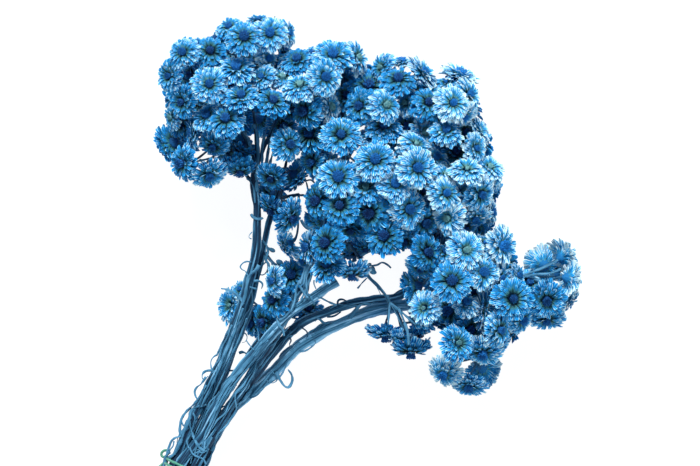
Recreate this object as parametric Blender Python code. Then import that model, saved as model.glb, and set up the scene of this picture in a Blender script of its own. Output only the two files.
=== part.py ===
"""A tied bunch of winged everlasting, dried, dyed blue and sold as strawflower, lying on a table.

Seven stalks are held near their cut ends by a green wire. Six of them branch into thin pedicels,
each with one papery flower head; the seventh is broken off. The photograph looks straight down
on the bunch, so a place is given by its pixel there and its height above the table.
"""

import math

import bmesh
import bpy
import numpy as np
from mathutils import Vector

# What one pixel of the photograph measures at the height of the table, in metres.
PIXEL = 0.0006
PICTURE_MIDDLE = (350, 233)
# The pixel that the origin lies under, below the middle of the bunch.
ORIGIN_PIXEL = (353.68, 287.86)
VIEWER_HEIGHT = 2.2
MM = 0.001

# The flower head, as shares of its radius: (radius, height) of each ring of its outline.
# One that is small, steep, deep in the mass or behind it has fewer petals and no second layer.
PETALS = 5
FEWER_PETALS = 4
SMALL_BLOOM = 28
STEEP_TIP = 55
NECK = (0.09, -0.62)
PETAL_TIP = (1.0, 0.0)
PETAL_NOTCH = (0.80, -0.05)
UPPER_PETAL = (0.74, 0.24)
DISC_FOOT = (0.40, 0.15)
DISC_TOP = (0.31, 0.42)

PEDICEL_RADIUS = 0.00075
PEDICEL_STEPS = (0.0, 0.6, 1.0)
LONGEST_PEDICEL = 0.062
CROWDED_ROOT = 0.006
BRANCH_RADIUS = 0.0013
LEAF_WIDTH = 0.0022
LEAF_THICKNESS = 0.0008
NODE_GAP = 0.0006
BLOOM_GAP = 0.0005

# How the heads are slid apart: rounds, how far in one round, and the share of it sideways.
ROUNDS = 90
LONGEST_SLIDE = 0.001
SIDEWAYS = 0.2
SIDEWAYS_OFF_STEM = 0.4
NEAR_STEM = 0.035
ABOVE_TABLE = 0.0008

# What counts against a pedicel's way, in metres of its length for each radian or metre.
SWINGS = (0.2, 0.35, 0.5, 0.7)
TURN_COST = 0.012
STRANGER_COST = 30
KIN_COST = 8
LOWEST_PEDICEL = 0.002

# The bundle where the wire holds it: its middle, the way it runs, and how its stalks pack.
TIE = (186, 468, 13.4)
BUNDLE_RUN = (0.42, 0.907)
BUNDLE_RADIUS = 11.4
FOOT_SPREAD = 1.06
FOOT_BELOW_TIE = 54.0
WIRE_RADIUS = 0.0008

# Rounded masses that the flower heads cover: pixel x, pixel y, radius in pixels,
# then half their thickness and their middle height in millimetres.
MOUNDS = (
    (232, 98, 92, 37, 47),
    (345, 118, 95, 38, 48),
    (425, 135, 95, 38, 48),
    (372, 200, 90, 39, 48),
    (460, 205, 82, 38, 48),
    (465, 300, 88, 37, 46),
    (555, 285, 45, 18, 46),
    (268, 280, 76, 25, 38),
    (402, 338, 38, 9, 46),
)

# Flower heads that the photograph shows, for each stalk: pixel x, pixel y, width in pixels,
# the way the face leans (degrees, 0 right and 90 up), how far it tips from the viewer
# (degrees), and how far it stands in front of its neighbours (millimetres).
SEEN = {
    "stalk_left": (
        (244, 37, 33, 90, 20, 8), (183, 52, 30, 150, 20, 0), (210, 51, 30, 90, 15, -3),
        (229, 27, 26, 110, 50, -6), (270, 33, 33, 90, 12, 4), (288, 33, 26, 20, 65, -4),
        (259, 20, 22, 90, 70, -8), (198, 44, 24, 100, 65, -8), (169, 76, 30, 180, 35, 0),
        (191, 74, 26, 200, 60, -6), (210, 84, 33, 60, 10, 5), (235, 68, 36, 90, 40, 3),
        (241, 96, 34, 90, 35, 7), (182, 102, 32, 190, 45, 0), (171, 117, 24, 190, 60, -5),
        (207, 116, 30, 120, 35, 0), (226, 119, 34, 110, 25, 3), (170, 142, 38, 215, 120, 4),
        (182, 163, 32, 190, 45, 0), (192, 132, 30, 180, 75, 0), (213, 146, 30, 250, 45, -4),
        (209, 175, 34, 290, 45, 0), (240, 172, 30, 270, 70, -4), (240, 149, 30, 230, 110, -3),
        (268, 60, 26, 20, 50, -3), (297, 61, 34, 100, 45, 0), (263, 78, 28, 130, 40, -2),
        (283, 76, 30, 90, 50, -2), (300, 84, 35, 100, 40, 2), (273, 100, 34, 70, 40, 6),
        (289, 49, 22, 45, 115, -6), (305, 111, 34, 190, 35, 0), (289, 144, 33, 0, 30, -6),
    ),
    "stalk_top": (
        (333, 55, 37, 90, 30, 4), (311, 53, 26, 110, 70, -8), (325, 77, 34, 20, 20, 8),
        (358, 57, 32, 20, 65, -3), (381, 67, 28, 160, 50, -3), (398, 79, 32, 80, 30, 0),
        (423, 72, 34, 40, 70, -2), (402, 62, 24, 90, 75, -9), (331, 107, 30, 10, 60, -4),
        (360, 106, 33, 170, 25, -6), (387, 105, 33, 30, 30, 5), (384, 126, 34, 90, 50, 0),
        (352, 77, 22, 60, 115, -6), (341, 135, 37, 80, 15, 4), (371, 136, 26, 100, 50, -4),
        (397, 140, 30, 120, 50, -2), (406, 103, 26, 160, 50, -11), (310, 311, 30, 100, 60, -31),
    ),
    "stalk_right": (
        (416, 144, 34, 60, 55, 0), (424, 132, 30, 10, 50, -3), (429, 103, 34, 80, 25, -3),
        (446, 131, 32, 80, 40, 0), (453, 103, 35, 30, 20, 7), (460, 75, 36, 70, 95, 0),
        (469, 94, 32, 20, 60, 0), (465, 117, 28, 300, 45, -3), (446, 82, 22, 100, 60, -8),
        (477, 130, 30, 30, 70, 0), (477, 150, 30, 0, 50, 0), (417, 168, 38, 20, 15, 8),
        (394, 184, 34, 60, 20, 4), (409, 208, 36, 350, 20, 3), (425, 222, 34, 320, 30, -3),
        (437, 158, 26, 60, 45, -8), (446, 175, 28, 60, 40, -6), (433, 205, 22, 20, 50, -10),
        (467, 169, 34, 80, 45, 0), (488, 166, 30, 60, 50, 0), (495, 176, 28, 0, 70, -2),
        (446, 193, 34, 20, 25, 6), (463, 190, 28, 0, 50, 0), (481, 195, 34, 330, 35, 0),
        (491, 212, 24, 0, 70, -2), (476, 217, 28, 270, 60, -2), (448, 218, 34, 200, 30, 0),
        (427, 252, 34, 0, 30, 0), (421, 268, 30, 250, 50, -2), (413, 288, 34, 200, 120, 6),
    ),
    "stalk_centre": (
        (375, 160, 38, 80, 15, 7), (338, 177, 38, 90, 10, 5), (366, 188, 32, 100, 35, 0),
        (317, 201, 34, 180, 35, 0), (340, 206, 34, 120, 15, 2), (370, 213, 36, 200, 20, -3),
        (385, 236, 36, 150, 20, -3), (404, 241, 28, 270, 50, -4), (329, 241, 40, 150, 15, 5),
        (327, 265, 34, 120, 35, 0), (308, 247, 30, 180, 65, -4), (352, 230, 30, 250, 60, -12),
        (365, 250, 26, 260, 80, -10), (315, 150, 32, 250, 110, -2), (352, 275, 34, 270, 75, 0),
        (305, 262, 22, 220, 60, -10), (386, 331, 36, 270, 85, 0),
        (411, 349, 38, 270, 85, 2), (420, 334, 28, 290, 100, -4), (399, 338, 26, 260, 80, -9),
    ),
    "stalk_inner": (
        (269, 210, 32, 235, 80, 4), (291, 218, 34, 330, 65, 6), (286, 247, 30, 215, 105, 6),
        (292, 274, 36, 90, 10, 6), (273, 281, 28, 180, 60, 0), (275, 302, 34, 170, 20, 2),
        (252, 323, 30, 200, 40, -46), (231, 305, 34, 170, 40, -43), (271, 178, 30, 240, 50, 0),
        (295, 173, 32, 320, 115, 3), (240, 290, 20, 150, 50, -42),
    ),
    "stalk_low": (
        (465, 251, 36, 20, 20, 6), (502, 246, 38, 0, 40, 0), (484, 272, 34, 20, 20, 3),
        (501, 278, 32, 10, 50, 0), (513, 299, 38, 20, 8, 5), (452, 280, 37, 90, 8, 6),
        (424, 308, 32, 170, 25, 2), (466, 303, 30, 45, 45, -4), (484, 309, 38, 0, 75, 2),
        (501, 329, 34, 350, 40, 0), (522, 320, 30, 330, 50, -2), (458, 343, 35, 20, 30, 3),
        (484, 353, 36, 260, 45, 0), (486, 370, 32, 290, 110, -2), (444, 374, 34, 235, 50, 0),
        (469, 386, 32, 260, 60, 0), (437, 322, 34, 250, 110, -2), (497, 345, 26, 300, 60, -3),
        (446, 252, 24, 90, 50, -7), (485, 243, 22, 60, 50, -8), (517, 276, 22, 10, 60, -6),
        (541, 263, 33, 120, 20, -6), (567, 254, 34, 30, 100, 2), (572, 281, 34, 350, 75, 0),
        (547, 301, 36, 270, 20, 2), (546, 319, 34, 270, 65, 0), (566, 300, 24, 320, 95, -2),
    ),
}

# Flower heads deeper in the mass, which show between the ones in front: as above.
DEEP = {
    "stalk_left": (
        (281, 120, 28, 60, 40, -18), (248, 131, 28, 200, 35, -18), (269, 154, 26, 280, 60, -14),
        (181, 123, 28, 190, 50, -14), (229, 161, 28, 270, 60, -12), (199, 100, 28, 120, 40, -16),
        (263, 98, 26, 60, 40, -18), (303, 44, 24, 60, 60, -8), (218, 40, 24, 110, 60, -10),
    ),
    "stalk_top": (
        (311, 134, 30, 150, 40, -14), (323, 122, 28, 120, 40, -18), (369, 86, 30, 90, 40, -14),
        (412, 92, 26, 60, 50, -14), (346, 96, 26, 100, 40, -16),
    ),
    "stalk_right": (
        (408, 127, 30, 80, 40, -16), (423, 190, 28, 0, 40, -16), (467, 133, 28, 20, 50, -12),
        (464, 229, 28, 320, 60, -12), (455, 152, 28, 60, 40, -14), (440, 116, 26, 80, 40, -14),
    ),
    "stalk_centre": (
        (312, 162, 28, 200, 50, -14), (352, 226, 28, 200, 40, -18), (391, 212, 28, 300, 40, -18),
        (354, 190, 28, 120, 30, -20),
    ),
    "stalk_inner": (
        (263, 322, 26, 200, 60, -24),
    ),
    "stalk_low": (
        (449, 310, 30, 200, 40, -14), (408, 318, 28, 190, 55, -8), (529, 282, 26, 60, 50, -10),
        (470, 330, 28, 0, 30, -16), (505, 310, 26, 330, 40, -14), (474, 290, 28, 60, 40, -18),
    ),
}

# Flower heads on the far side, which the photograph can't show: pixel x, pixel y, width in
# pixels, lean and tip as above. One that faces straight down, at 180, rests on the table.
HIDDEN = {
    "stalk_left": (
        (222, 112, 34, 0, 180), (176, 96, 31, 180, 112), (196, 58, 31, 130, 118),
        (240, 44, 31, 100, 115), (280, 62, 30, 50, 118), (190, 146, 31, 215, 118),
        (214, 152, 30, 240, 135), (252, 150, 30, 270, 130), (262, 118, 31, 0, 150),
        (226, 80, 31, 120, 150),
    ),
    "stalk_top": (
        (350, 106, 34, 0, 180), (338, 66, 32, 100, 115), (378, 76, 31, 80, 118),
        (408, 88, 31, 60, 120), (318, 92, 30, 150, 125), (384, 118, 31, 0, 160),
    ),
    "stalk_right": (
        (452, 160, 34, 0, 180), (434, 92, 31, 80, 118), (466, 104, 31, 50, 115),
        (486, 142, 31, 10, 115), (490, 186, 31, 350, 118), (420, 142, 31, 150, 155),
        (440, 200, 31, 200, 160), (482, 226, 30, 330, 120),
    ),
    "stalk_centre": (
        (372, 196, 34, 0, 180), (330, 170, 30, 180, 125), (398, 172, 31, 20, 155),
        (318, 222, 30, 200, 120), (352, 250, 30, 260, 125), (402, 230, 31, 320, 150),
    ),
    "stalk_inner": (
        (270, 196, 28, 200, 125), (280, 296, 28, 220, 125),
    ),
    "stalk_low": (
        (474, 318, 34, 0, 180), (512, 256, 31, 20, 115), (526, 300, 31, 0, 115),
        (512, 330, 31, 320, 120), (462, 364, 31, 250, 120), (436, 344, 30, 210, 120),
        (480, 276, 31, 60, 160), (440, 282, 30, 160, 150), (566, 272, 29, 20, 118),
        (552, 306, 29, 290, 118),
    ),
}

# The stalks: the way each lies from the bundle's middle at the wire (across and up), its radius
# there and at its top in millimetres, and then its way up through pixel x, pixel y and height.
STALKS = {
    "stalk_left": ((-1.0, 0.0), (3.5, 2.0), (
        (184, 439, 15.5), (195, 414, 18), (210, 386, 21), (223, 357, 25), (234, 327, 29),
        (244, 299, 33), (250, 277, 36), (255, 255, 39), (257, 230, 43), (257, 205, 46),
        (254, 185, 48), (257, 166, 50),
    )),
    "stalk_inner": ((-0.5, -0.87), (2.5, 1.5), (
        (193, 436, 7.5), (206, 410, 9.5), (220, 382, 12.5), (232, 354, 15.5), (243, 326, 19.5),
        (251, 300, 24), (257, 275, 27.5), (263, 250, 31.5), (268, 226, 36), (275, 202, 41),
        (281, 186, 44),
    )),
    "stalk_centre": ((0.5, 0.87), (2.8, 1.8), (
        (217, 429, 23), (230, 406, 25.5), (243, 386, 28), (254, 368, 29.5), (267, 350, 31.5),
        (279, 330, 34), (287, 315, 36), (295, 300, 38.5), (304, 285, 41), (312, 267, 44),
        (320, 252, 46), (331, 235, 49), (345, 212, 52), (357, 190, 54),
    )),
    "stalk_broken": ((-0.5, 0.87), (3.2, 2.9), (
        (203, 433, 22.5), (215, 409, 25.5), (228, 387, 29), (241, 369, 32.5), (256, 352, 36.5),
        (272, 333, 41), (292, 312, 44.5), (313, 297, 46), (337, 281, 47),
    )),
    "stalk_right": ((1.0, 0.0), (3.0, 1.7), (
        (213, 440, 15), (228, 416, 18), (240, 399, 20.5), (249, 385, 21.5), (261, 369, 23),
        (275, 350, 25), (288, 334, 27), (304, 322, 29), (325, 313, 31), (350, 304, 34.5),
        (375, 300, 38), (400, 296, 41), (424, 280, 43), (441, 254, 45), (447, 220, 48),
        (446, 185, 50), (444, 155, 52),
    )),
    "stalk_low": ((0.5, -0.87), (3.5, 2.4), (
        (209, 437, 7.2), (225, 414, 9.5), (241, 399, 12), (257, 387, 14), (272, 373, 16.5),
        (287, 357, 19.5), (302, 344, 22.5), (323, 331, 26), (345, 322, 29), (370, 312, 31),
        (400, 306, 33), (430, 305, 36), (450, 300, 40),
    )),
    "stalk_top": ((0.0, 0.0), (2.4, 1.6), (
        (199, 438, 13.5), (213, 412, 14.5), (229, 385, 15.5), (246, 360, 17), (262, 338, 19),
        (278, 314, 22), (292, 292, 25), (306, 270, 28), (321, 248, 32), (335, 226, 36),
        (343, 200, 40), (344, 165, 44), (342, 130, 47), (342, 95, 50), (343, 75, 52),
    )),
}

# Side branches, each from a point of its stalk or of a branch before it.
BRANCHES = {
    "stalk_left": (
        ((257, 166, 50), (246, 140, 54), (230, 118, 58), (215, 100, 60)),
        ((257, 166, 50), (256, 135, 53), (252, 105, 57), (248, 80, 60), (243, 58, 60)),
        ((257, 166, 50), (268, 138, 50), (279, 112, 52), (285, 88, 54)),
        ((230, 118, 58), (208, 92, 57), (192, 72, 55)),
        ((254, 185, 48), (236, 162, 44), (215, 145, 42), (196, 138, 40)),
        ((257, 166, 50), (246, 140, 38), (232, 118, 30), (222, 108, 24)),
    ),
    "stalk_top": (
        ((344, 165, 44), (356, 145, 51), (370, 125, 56), (384, 110, 58)),
        ((342, 95, 50), (360, 84, 53), (380, 80, 54), (398, 84, 53)),
        ((342, 95, 50), (330, 78, 54), (318, 66, 54)),
        ((342, 130, 47), (334, 122, 54), (326, 112, 56)),
        ((344, 165, 44), (350, 140, 34), (354, 115, 26)),
    ),
    "stalk_right": (
        ((447, 220, 48), (430, 206, 56), (412, 190, 62)),
        ((446, 185, 50), (463, 182, 54), (478, 180, 55)),
        ((444, 155, 52), (452, 130, 55), (458, 108, 56), (460, 92, 54)),
        ((444, 155, 52), (432, 138, 57), (422, 118, 58)),
        ((441, 254, 45), (432, 248, 54), (438, 234, 60)),
        ((444, 155, 52), (460, 145, 54), (470, 138, 54)),
        ((446, 185, 50), (448, 172, 36), (452, 160, 26)),
    ),
    "stalk_centre": (
        ((320, 252, 46), (322, 225, 54), (326, 205, 60), (331, 190, 64)),
        ((330, 235, 49), (341, 237, 51), (352, 247, 52), (362, 262, 52), (368, 276, 51),
         (380, 288, 50), (389, 302, 49), (388, 316, 49)),
        ((389, 302, 49), (398, 315, 49), (405, 331, 49)),
        ((345, 212, 52), (366, 207, 56), (384, 214, 60)),
        ((357, 190, 54), (362, 174, 60), (366, 162, 64)),
        ((312, 267, 44), (320, 271, 49), (330, 270, 54)),
        ((345, 212, 52), (358, 206, 38), (370, 198, 26)),
    ),
    "stalk_inner": (
        ((276, 200, 41), (287, 197, 43), (299, 194, 44)),
        ((263, 250, 31.5), (272, 262, 35), (282, 268, 38)),
        ((251, 300, 24), (246, 308, 20), (241, 312, 18)),
        ((281, 186, 44), (285, 168, 42), (288, 155, 40)),
    ),
    "stalk_broken": (),
    "stalk_low": (
        ((450, 300, 40), (459, 285, 48), (467, 270, 54), (474, 258, 58)),
        ((450, 300, 40), (475, 300, 45), (495, 299, 50), (508, 304, 52)),
        ((430, 305, 36), (446, 322, 41), (459, 338, 45), (470, 352, 46), (476, 364, 46)),
        ((475, 300, 45), (500, 286, 46), (525, 275, 47), (544, 268, 47)),
        ((525, 275, 47), (538, 280, 49), (548, 288, 49)),
        ((450, 300, 40), (462, 306, 32), (474, 316, 25)),
    ),
}

# Curled dry leaf strips that show from a step away, each from the middle of its stalk out.
LEAVES = {
    "stalk_left": (
        ((244, 299, 33), (236, 297, 34), (229, 292, 36), (222, 287, 37)),
        ((251, 273, 36.5), (245, 263, 38), (239, 266, 38), (240, 273, 37), (246, 276, 36.5)),
        ((211, 384, 21), (206, 373, 22.5), (201, 377, 22.5), (203, 383, 21.5)),
        ((202, 400, 19.5), (197, 387, 20.5), (193, 392, 20.5), (196, 399, 20), (201, 403, 19)),
        ((190, 426, 17), (183, 413, 17.5), (178, 419, 17.5), (180, 427, 16.5), (187, 431, 16.5)),
        ((182, 444, 15), (174, 438, 15.5), (168, 445, 15.5), (170, 452, 14.5)),
    ),
    "stalk_inner": (
        ((264, 247, 32), (270, 245, 33.5), (276, 250, 35)),
        ((274, 264, 35), (279, 258, 38), (284, 262, 40)),
    ),
    "stalk_low": (
        ((272, 373, 16.5), (279, 377, 17.5), (285, 386, 18), (291, 381, 19), (289, 370, 20)),
        ((301, 345, 22.5), (306, 351, 23.5), (313, 347, 25), (316, 340, 26)),
        ((350, 320, 29.5), (352, 315, 34.5), (358, 312.5, 35.5), (362, 315, 34)),
    ),
    "stalk_broken": (
        ((318, 294, 46), (324, 302, 48), (331, 304, 49), (330, 297, 50)),
    ),
}


def spot(x, y, height):
    """Where this pixel of the photograph lies at this height in millimetres, seen in perspective."""
    nearer = PIXEL * (VIEWER_HEIGHT - height * MM) / VIEWER_HEIGHT
    across = (x - PICTURE_MIDDLE[0]) * nearer + (PICTURE_MIDDLE[0] - ORIGIN_PIXEL[0]) * PIXEL
    along = (PICTURE_MIDDLE[1] - y) * nearer + (ORIGIN_PIXEL[1] - PICTURE_MIDDLE[1]) * PIXEL
    return Vector((across, along, height * MM))


def facing(lean, tip):
    """The way a flower head faces, from its lean in the picture and its tip from the viewer."""
    lean, tip = math.radians(lean), math.radians(tip)
    return Vector((math.sin(tip) * math.cos(lean), math.sin(tip) * math.sin(lean), math.cos(tip)))


def mound_at(x, y):
    """Half the thickness and the middle height of the mass at a pixel, and how domed it is there."""
    best = (0.0, MOUNDS[0])
    for mound in MOUNDS:
        distance = math.hypot(x - mound[0], y - mound[1]) / mound[2]
        dome = math.sqrt(max(0.0, 1.0 - distance ** 2))
        if dome * mound[3] > best[0]:
            best = (dome * mound[3], mound)
    return best[1][3], best[1][4], best[0] / best[1][3]


class Bloom:
    """One flower head: where its ring of petals is centred, the way it faces, and its radius."""

    def __init__(self, stalk, x, y, width, lean, tip, forward=None, deep=False):
        half, middle, dome = mound_at(x, y)
        self.stalk = stalk
        self.face = facing(lean, tip)
        self.resting = tip == 180
        self.radius = width / 2 * PIXEL
        rise = half * (0.55 * math.cos(math.radians(tip)) + 0.45 * dome)
        if forward is not None:
            height = middle + rise + forward
        elif self.resting:
            height = DISC_TOP[1] * self.radius / MM
        else:
            height = middle - half * (0.45 * abs(math.cos(math.radians(tip))) + 0.5 * dome)
        self.place = spot(x, y, height)
        plain = forward is not None and not deep and width > SMALL_BLOOM and tip < STEEP_TIP
        self.petals = PETALS if plain or self.resting else FEWER_PETALS


def smooth_path(points, step):
    """Points about a step apart on a smooth curve through the given ones."""
    ends = [points[0] * 2 - points[1]] + list(points) + [points[-1] * 2 - points[-2]]
    path = []
    for before, start, end, after in zip(ends, ends[1:], ends[2:], ends[3:]):
        count = max(1, round((end - start).length / step))
        for i in range(count):
            t = i / count
            path.append(0.5 * (2 * start + (end - before) * t
                               + (2 * before - 5 * start + 4 * end - after) * t ** 2
                               + (3 * start - before - 3 * end + after) * t ** 3))
    path.append(points[-1].copy())
    return path


def stalk_points(name):
    """A stalk's own points, from its cut end through the wire and up."""
    (across, up), (radius, _), way = STALKS[name]
    points = []
    for below, spread in ((FOOT_BELOW_TIE, FOOT_SPREAD), (0.0, 1.0)):
        offset = (BUNDLE_RADIUS - radius) * spread
        x = TIE[0] + (across * BUNDLE_RUN[1] * offset - below * BUNDLE_RUN[0]) * MM / PIXEL
        y = TIE[1] + (across * BUNDLE_RUN[0] * offset + below * BUNDLE_RUN[1]) * MM / PIXEL
        points.append(spot(x, y, TIE[2] + up * offset))
    return points + [spot(*point) for point in way]


# Spheres that stand for a flower head while room is made: how far out, how high, how big,
# and how many round it, all as shares of its radius.
BALLS = ((0.84, 0.06, 0.15, 12), (0.45, 0.02, 0.27, 5), (0.0, 0.17, 0.32, 1), (0.0, -0.35, 0.22, 1))


def ball_places():
    """The spheres' centres on a head of radius one that faces up, and their radii."""
    centres, sizes = [], []
    for out, high, size, count in BALLS:
        for i in range(count):
            turn = 2 * math.pi * i / count
            centres.append((out * math.cos(turn), out * math.sin(turn), high))
            sizes.append(size)
    return np.array(centres), np.array(sizes)


def settle(blooms, stem_dots):
    """Slide the heads apart, mostly in height, until none touches another or a stem."""
    centres, sizes = ball_places()
    turns = np.array([b.face.to_track_quat("Z", "Y").to_matrix() for b in blooms])
    radii = np.array([b.radius for b in blooms])
    places = np.array([b.place for b in blooms])
    free = np.array([0.0 if b.resting else 1.0 for b in blooms])
    balls = np.einsum("nij,kj->nki", turns, centres) * radii[:, None, None]
    ball_sizes = sizes[None, :] * radii[:, None]
    lowest = (balls[:, :, 2] - ball_sizes).min(axis=1)
    first, second = np.triu_indices(len(blooms), 1)
    close_by = [stem_dots[np.linalg.norm(stem_dots[:, :3] - place, axis=1) < NEAR_STEM]
                for place in places]
    for _ in range(ROUNDS):
        shift = np.zeros_like(places)
        near = np.linalg.norm(places[first] - places[second], axis=1) < radii[first] + radii[second]
        for a, b in zip(first[near], second[near]):
            gap = (places[a] + balls[a])[:, None] - (places[b] + balls[b])[None]
            distance = np.linalg.norm(gap, axis=2)
            deep = ball_sizes[a][:, None] + ball_sizes[b][None] + BLOOM_GAP - distance
            worst = np.unravel_index(deep.argmax(), deep.shape)
            if deep[worst] <= 0:
                continue
            way = gap[worst] / max(distance[worst], 1e-6)
            above = 1.0 if places[a][2] >= places[b][2] else -1.0
            push = deep[worst] * 0.5 * np.array((SIDEWAYS * way[0], SIDEWAYS * way[1], above))
            shift[a] += push * (2 - free[b])
            shift[b] -= push * (2 - free[a])
        for a, dots in enumerate(close_by):
            if not len(dots):
                continue
            gap = (places[a] + balls[a])[:, None] - dots[None, :, :3]
            distance = np.linalg.norm(gap, axis=2)
            deep = ball_sizes[a][:, None] + dots[None, :, 3] + BLOOM_GAP - distance
            worst = np.unravel_index(deep.argmax(), deep.shape)
            if deep[worst] > 0:
                way = gap[worst] / max(distance[worst], 1e-6)
                above = 1.0 if places[a][2] >= dots[worst[1], 2] else -1.0
                shift[a] += deep[worst] * 0.5 * np.array(
                    (SIDEWAYS_OFF_STEM * way[0], SIDEWAYS_OFF_STEM * way[1], above))
        places += np.clip(shift, -LONGEST_SLIDE, LONGEST_SLIDE) * free[:, None]
        floor = np.maximum(places[:, 2], ABOVE_TABLE - lowest)
        places[:, 2] = np.where(free > 0, floor, places[:, 2])
    for bloom, place in zip(blooms, places):
        bloom.place = Vector(place)


def pedicel_path(root, bloom, swing, count):
    """A smooth way from a branch to the back of a flower head."""
    neck = bloom.place + bloom.face * NECK[1] * bloom.radius
    reach = (neck - root).length
    first = root.lerp(neck, 0.33) + Vector((0, 0, 0.12 * reach * (1 - swing)))
    last = neck - bloom.face * reach * swing
    path = []
    for i in range(count):
        t = i / (count - 1)
        s = 1 - t
        path.append(root * s ** 3 + first * 3 * s * s * t + last * 3 * s * t * t + neck * t ** 3)
    return path


def lay_pedicels(blooms, roots, stem_dots, stem_owner):
    """For each head the branch point and swing that give a short pedicel clear of the rest."""
    centres, sizes = ball_places()
    dots, owner = [], []
    for index, bloom in enumerate(blooms):
        turn = np.array(bloom.face.to_track_quat("Z", "Y").to_matrix())
        for centre, size in zip(centres, sizes):
            dots.append([*(np.array(bloom.place) + turn @ centre * bloom.radius), size * bloom.radius])
            owner.append((bloom.stalk, index))
    dots = np.array(dots)
    dot_stalk = np.array([name for name, _ in owner])
    dot_index = np.array([index for _, index in owner])
    lanes = np.array(stem_dots)
    lane_owner = np.array(stem_owner)
    taken = {}
    for index, bloom in enumerate(blooms):
        place = np.array(bloom.place)
        strange = np.concatenate([dots[dot_stalk != bloom.stalk], lanes[lane_owner != bloom.stalk]])
        strange = strange[np.linalg.norm(strange[:, :3] - place, axis=1) < LONGEST_PEDICEL]
        kin = dots[(dot_stalk == bloom.stalk) & (dot_index != index)]
        laid = np.arange(len(lanes)) >= len(stem_dots)
        kin = np.concatenate([kin, lanes[laid & (lane_owner == bloom.stalk)]])
        kin = kin[np.linalg.norm(kin[:, :3] - place, axis=1) < LONGEST_PEDICEL]
        best = None
        for number, root in enumerate(roots[bloom.stalk]):
            crowd = CROWDED_ROOT * taken.get((bloom.stalk, number), 0)
            reach = (bloom.place - root).length
            ahead = bloom.face.dot((bloom.place - root) / max(reach, 1e-6))
            least = reach - bloom.radius + TURN_COST * (1 - ahead) + crowd
            if reach > LONGEST_PEDICEL or (best and least > best[0]):
                continue
            for swing in SWINGS:
                path = np.array(pedicel_path(root, bloom, swing, 10))
                clear = (np.linalg.norm(path[:, None] - strange[None, :, :3], axis=2)
                         - strange[None, :, 3]).min(initial=1.0)
                own = (np.linalg.norm(path[2:9, None] - kin[None, :, :3], axis=2)
                       - kin[None, :, 3]).min(initial=1.0)
                low = path[:, 2].min()
                cost = (np.linalg.norm(np.diff(path, axis=0), axis=1).sum()
                        + TURN_COST * (1 - ahead) + crowd
                        + STRANGER_COST * max(0.0, NODE_GAP + PEDICEL_RADIUS - clear)
                        + KIN_COST * max(0.0, BLOOM_GAP - own)
                        + STRANGER_COST * max(0.0, LOWEST_PEDICEL - low))
                if best is None or cost < best[0]:
                    best = (cost, root, swing, number)
        bloom.root, bloom.swing = best[1], best[2]
        taken[bloom.stalk, best[3]] = taken.get((bloom.stalk, best[3]), 0) + 1
        path = np.array(pedicel_path(bloom.root, bloom, bloom.swing, 24))
        lanes = np.concatenate([lanes, np.c_[path, np.full(len(path), PEDICEL_RADIUS)]])
        lane_owner = np.concatenate([lane_owner, np.full(len(path), bloom.stalk)])


def across_frames(path):
    """Two directions across a path at each of its points, carried along without twisting."""
    frames = []
    side = None
    for i, point in enumerate(path):
        ahead = (path[min(i + 1, len(path) - 1)] - path[max(i - 1, 0)]).normalized()
        if side is None:
            side = ahead.orthogonal().normalized()
        side = (side - ahead * side.dot(ahead)).normalized()
        frames.append((side, ahead.cross(side)))
    return frames


def bridge(mesh, lower, upper):
    """Faces between two rings that may have unlike numbers of points."""
    i = j = 0
    many, more = len(lower), len(upper)
    while i < many or j < more:
        if j >= more or (i < many and (i + 0.5) / many <= (j + 0.5) / more):
            mesh.faces.new((lower[i % many], lower[(i + 1) % many], upper[j % more]))
            i += 1
        else:
            mesh.faces.new((lower[i % many], upper[(j + 1) % more], upper[j % more]))
            j += 1


def bloom_rings(petals):
    """The head's rings above its neck: the radius, height and turn of each of their points."""
    half = math.pi / petals
    rim = []
    for i in range(petals):
        rim.append((*PETAL_TIP, 2 * i * half))
        rim.append((*PETAL_NOTCH, (2 * i + 1) * half))
    upper = [(*UPPER_PETAL, (2 * i + 1) * half) for i in range(petals)]
    foot = [(*DISC_FOOT, (2 * i + 1) * half) for i in range(petals)]
    top = [(*DISC_TOP, (2 * i + 1) * half) for i in range(petals)]
    if petals == FEWER_PETALS:
        return rim, top
    return rim, upper, foot, top


def add_bloom(bloom):
    """One flower head on its pedicel, lofted from the three-sided foot to the disc's flat top."""
    mesh = bmesh.new()
    path = pedicel_path(bloom.root, bloom, bloom.swing, 21)
    path = [path[round(step * 20)] for step in PEDICEL_STEPS]
    rings = []
    for point, (side, up) in zip(path, across_frames(path)):
        ring = []
        for i in range(3):
            turn = 2 * math.pi * i / 3
            ring.append(mesh.verts.new(
                point + (side * math.cos(turn) + up * math.sin(turn)) * PEDICEL_RADIUS))
        rings.append(ring)
    side, up = across_frames(path)[-1]
    side = (side - bloom.face * side.dot(bloom.face)).normalized()
    up = bloom.face.cross(side)
    for outline in bloom_rings(bloom.petals):
        ring = []
        for radius, height, turn in outline:
            out = side * math.cos(turn) + up * math.sin(turn)
            ring.append(mesh.verts.new(
                bloom.place + (out * radius + bloom.face * height) * bloom.radius))
        rings.append(ring)
    for lower, upper in zip(rings, rings[1:]):
        bridge(mesh, lower, upper)
    mesh.faces.new(reversed(rings[0]))
    mesh.faces.new(rings[-1])
    last_pedicel_face = 6 * (len(path) - 1)
    for index, face in enumerate(mesh.faces):
        face.material_index = 0 if index < last_pedicel_face else 1
    mesh.faces.ensure_lookup_table()
    mesh.faces[-1].material_index = 2
    return finish_mesh(mesh, "bloom")


def finish_mesh(mesh, name):
    """A mesh object with its faces turned outward, in the scene's own collection."""
    bmesh.ops.recalc_face_normals(mesh, faces=mesh.faces)
    data = bpy.data.meshes.new(name)
    mesh.to_mesh(data)
    mesh.free()
    thing = bpy.data.objects.new(name, data)
    bpy.context.scene.collection.objects.link(thing)
    return thing


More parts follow.
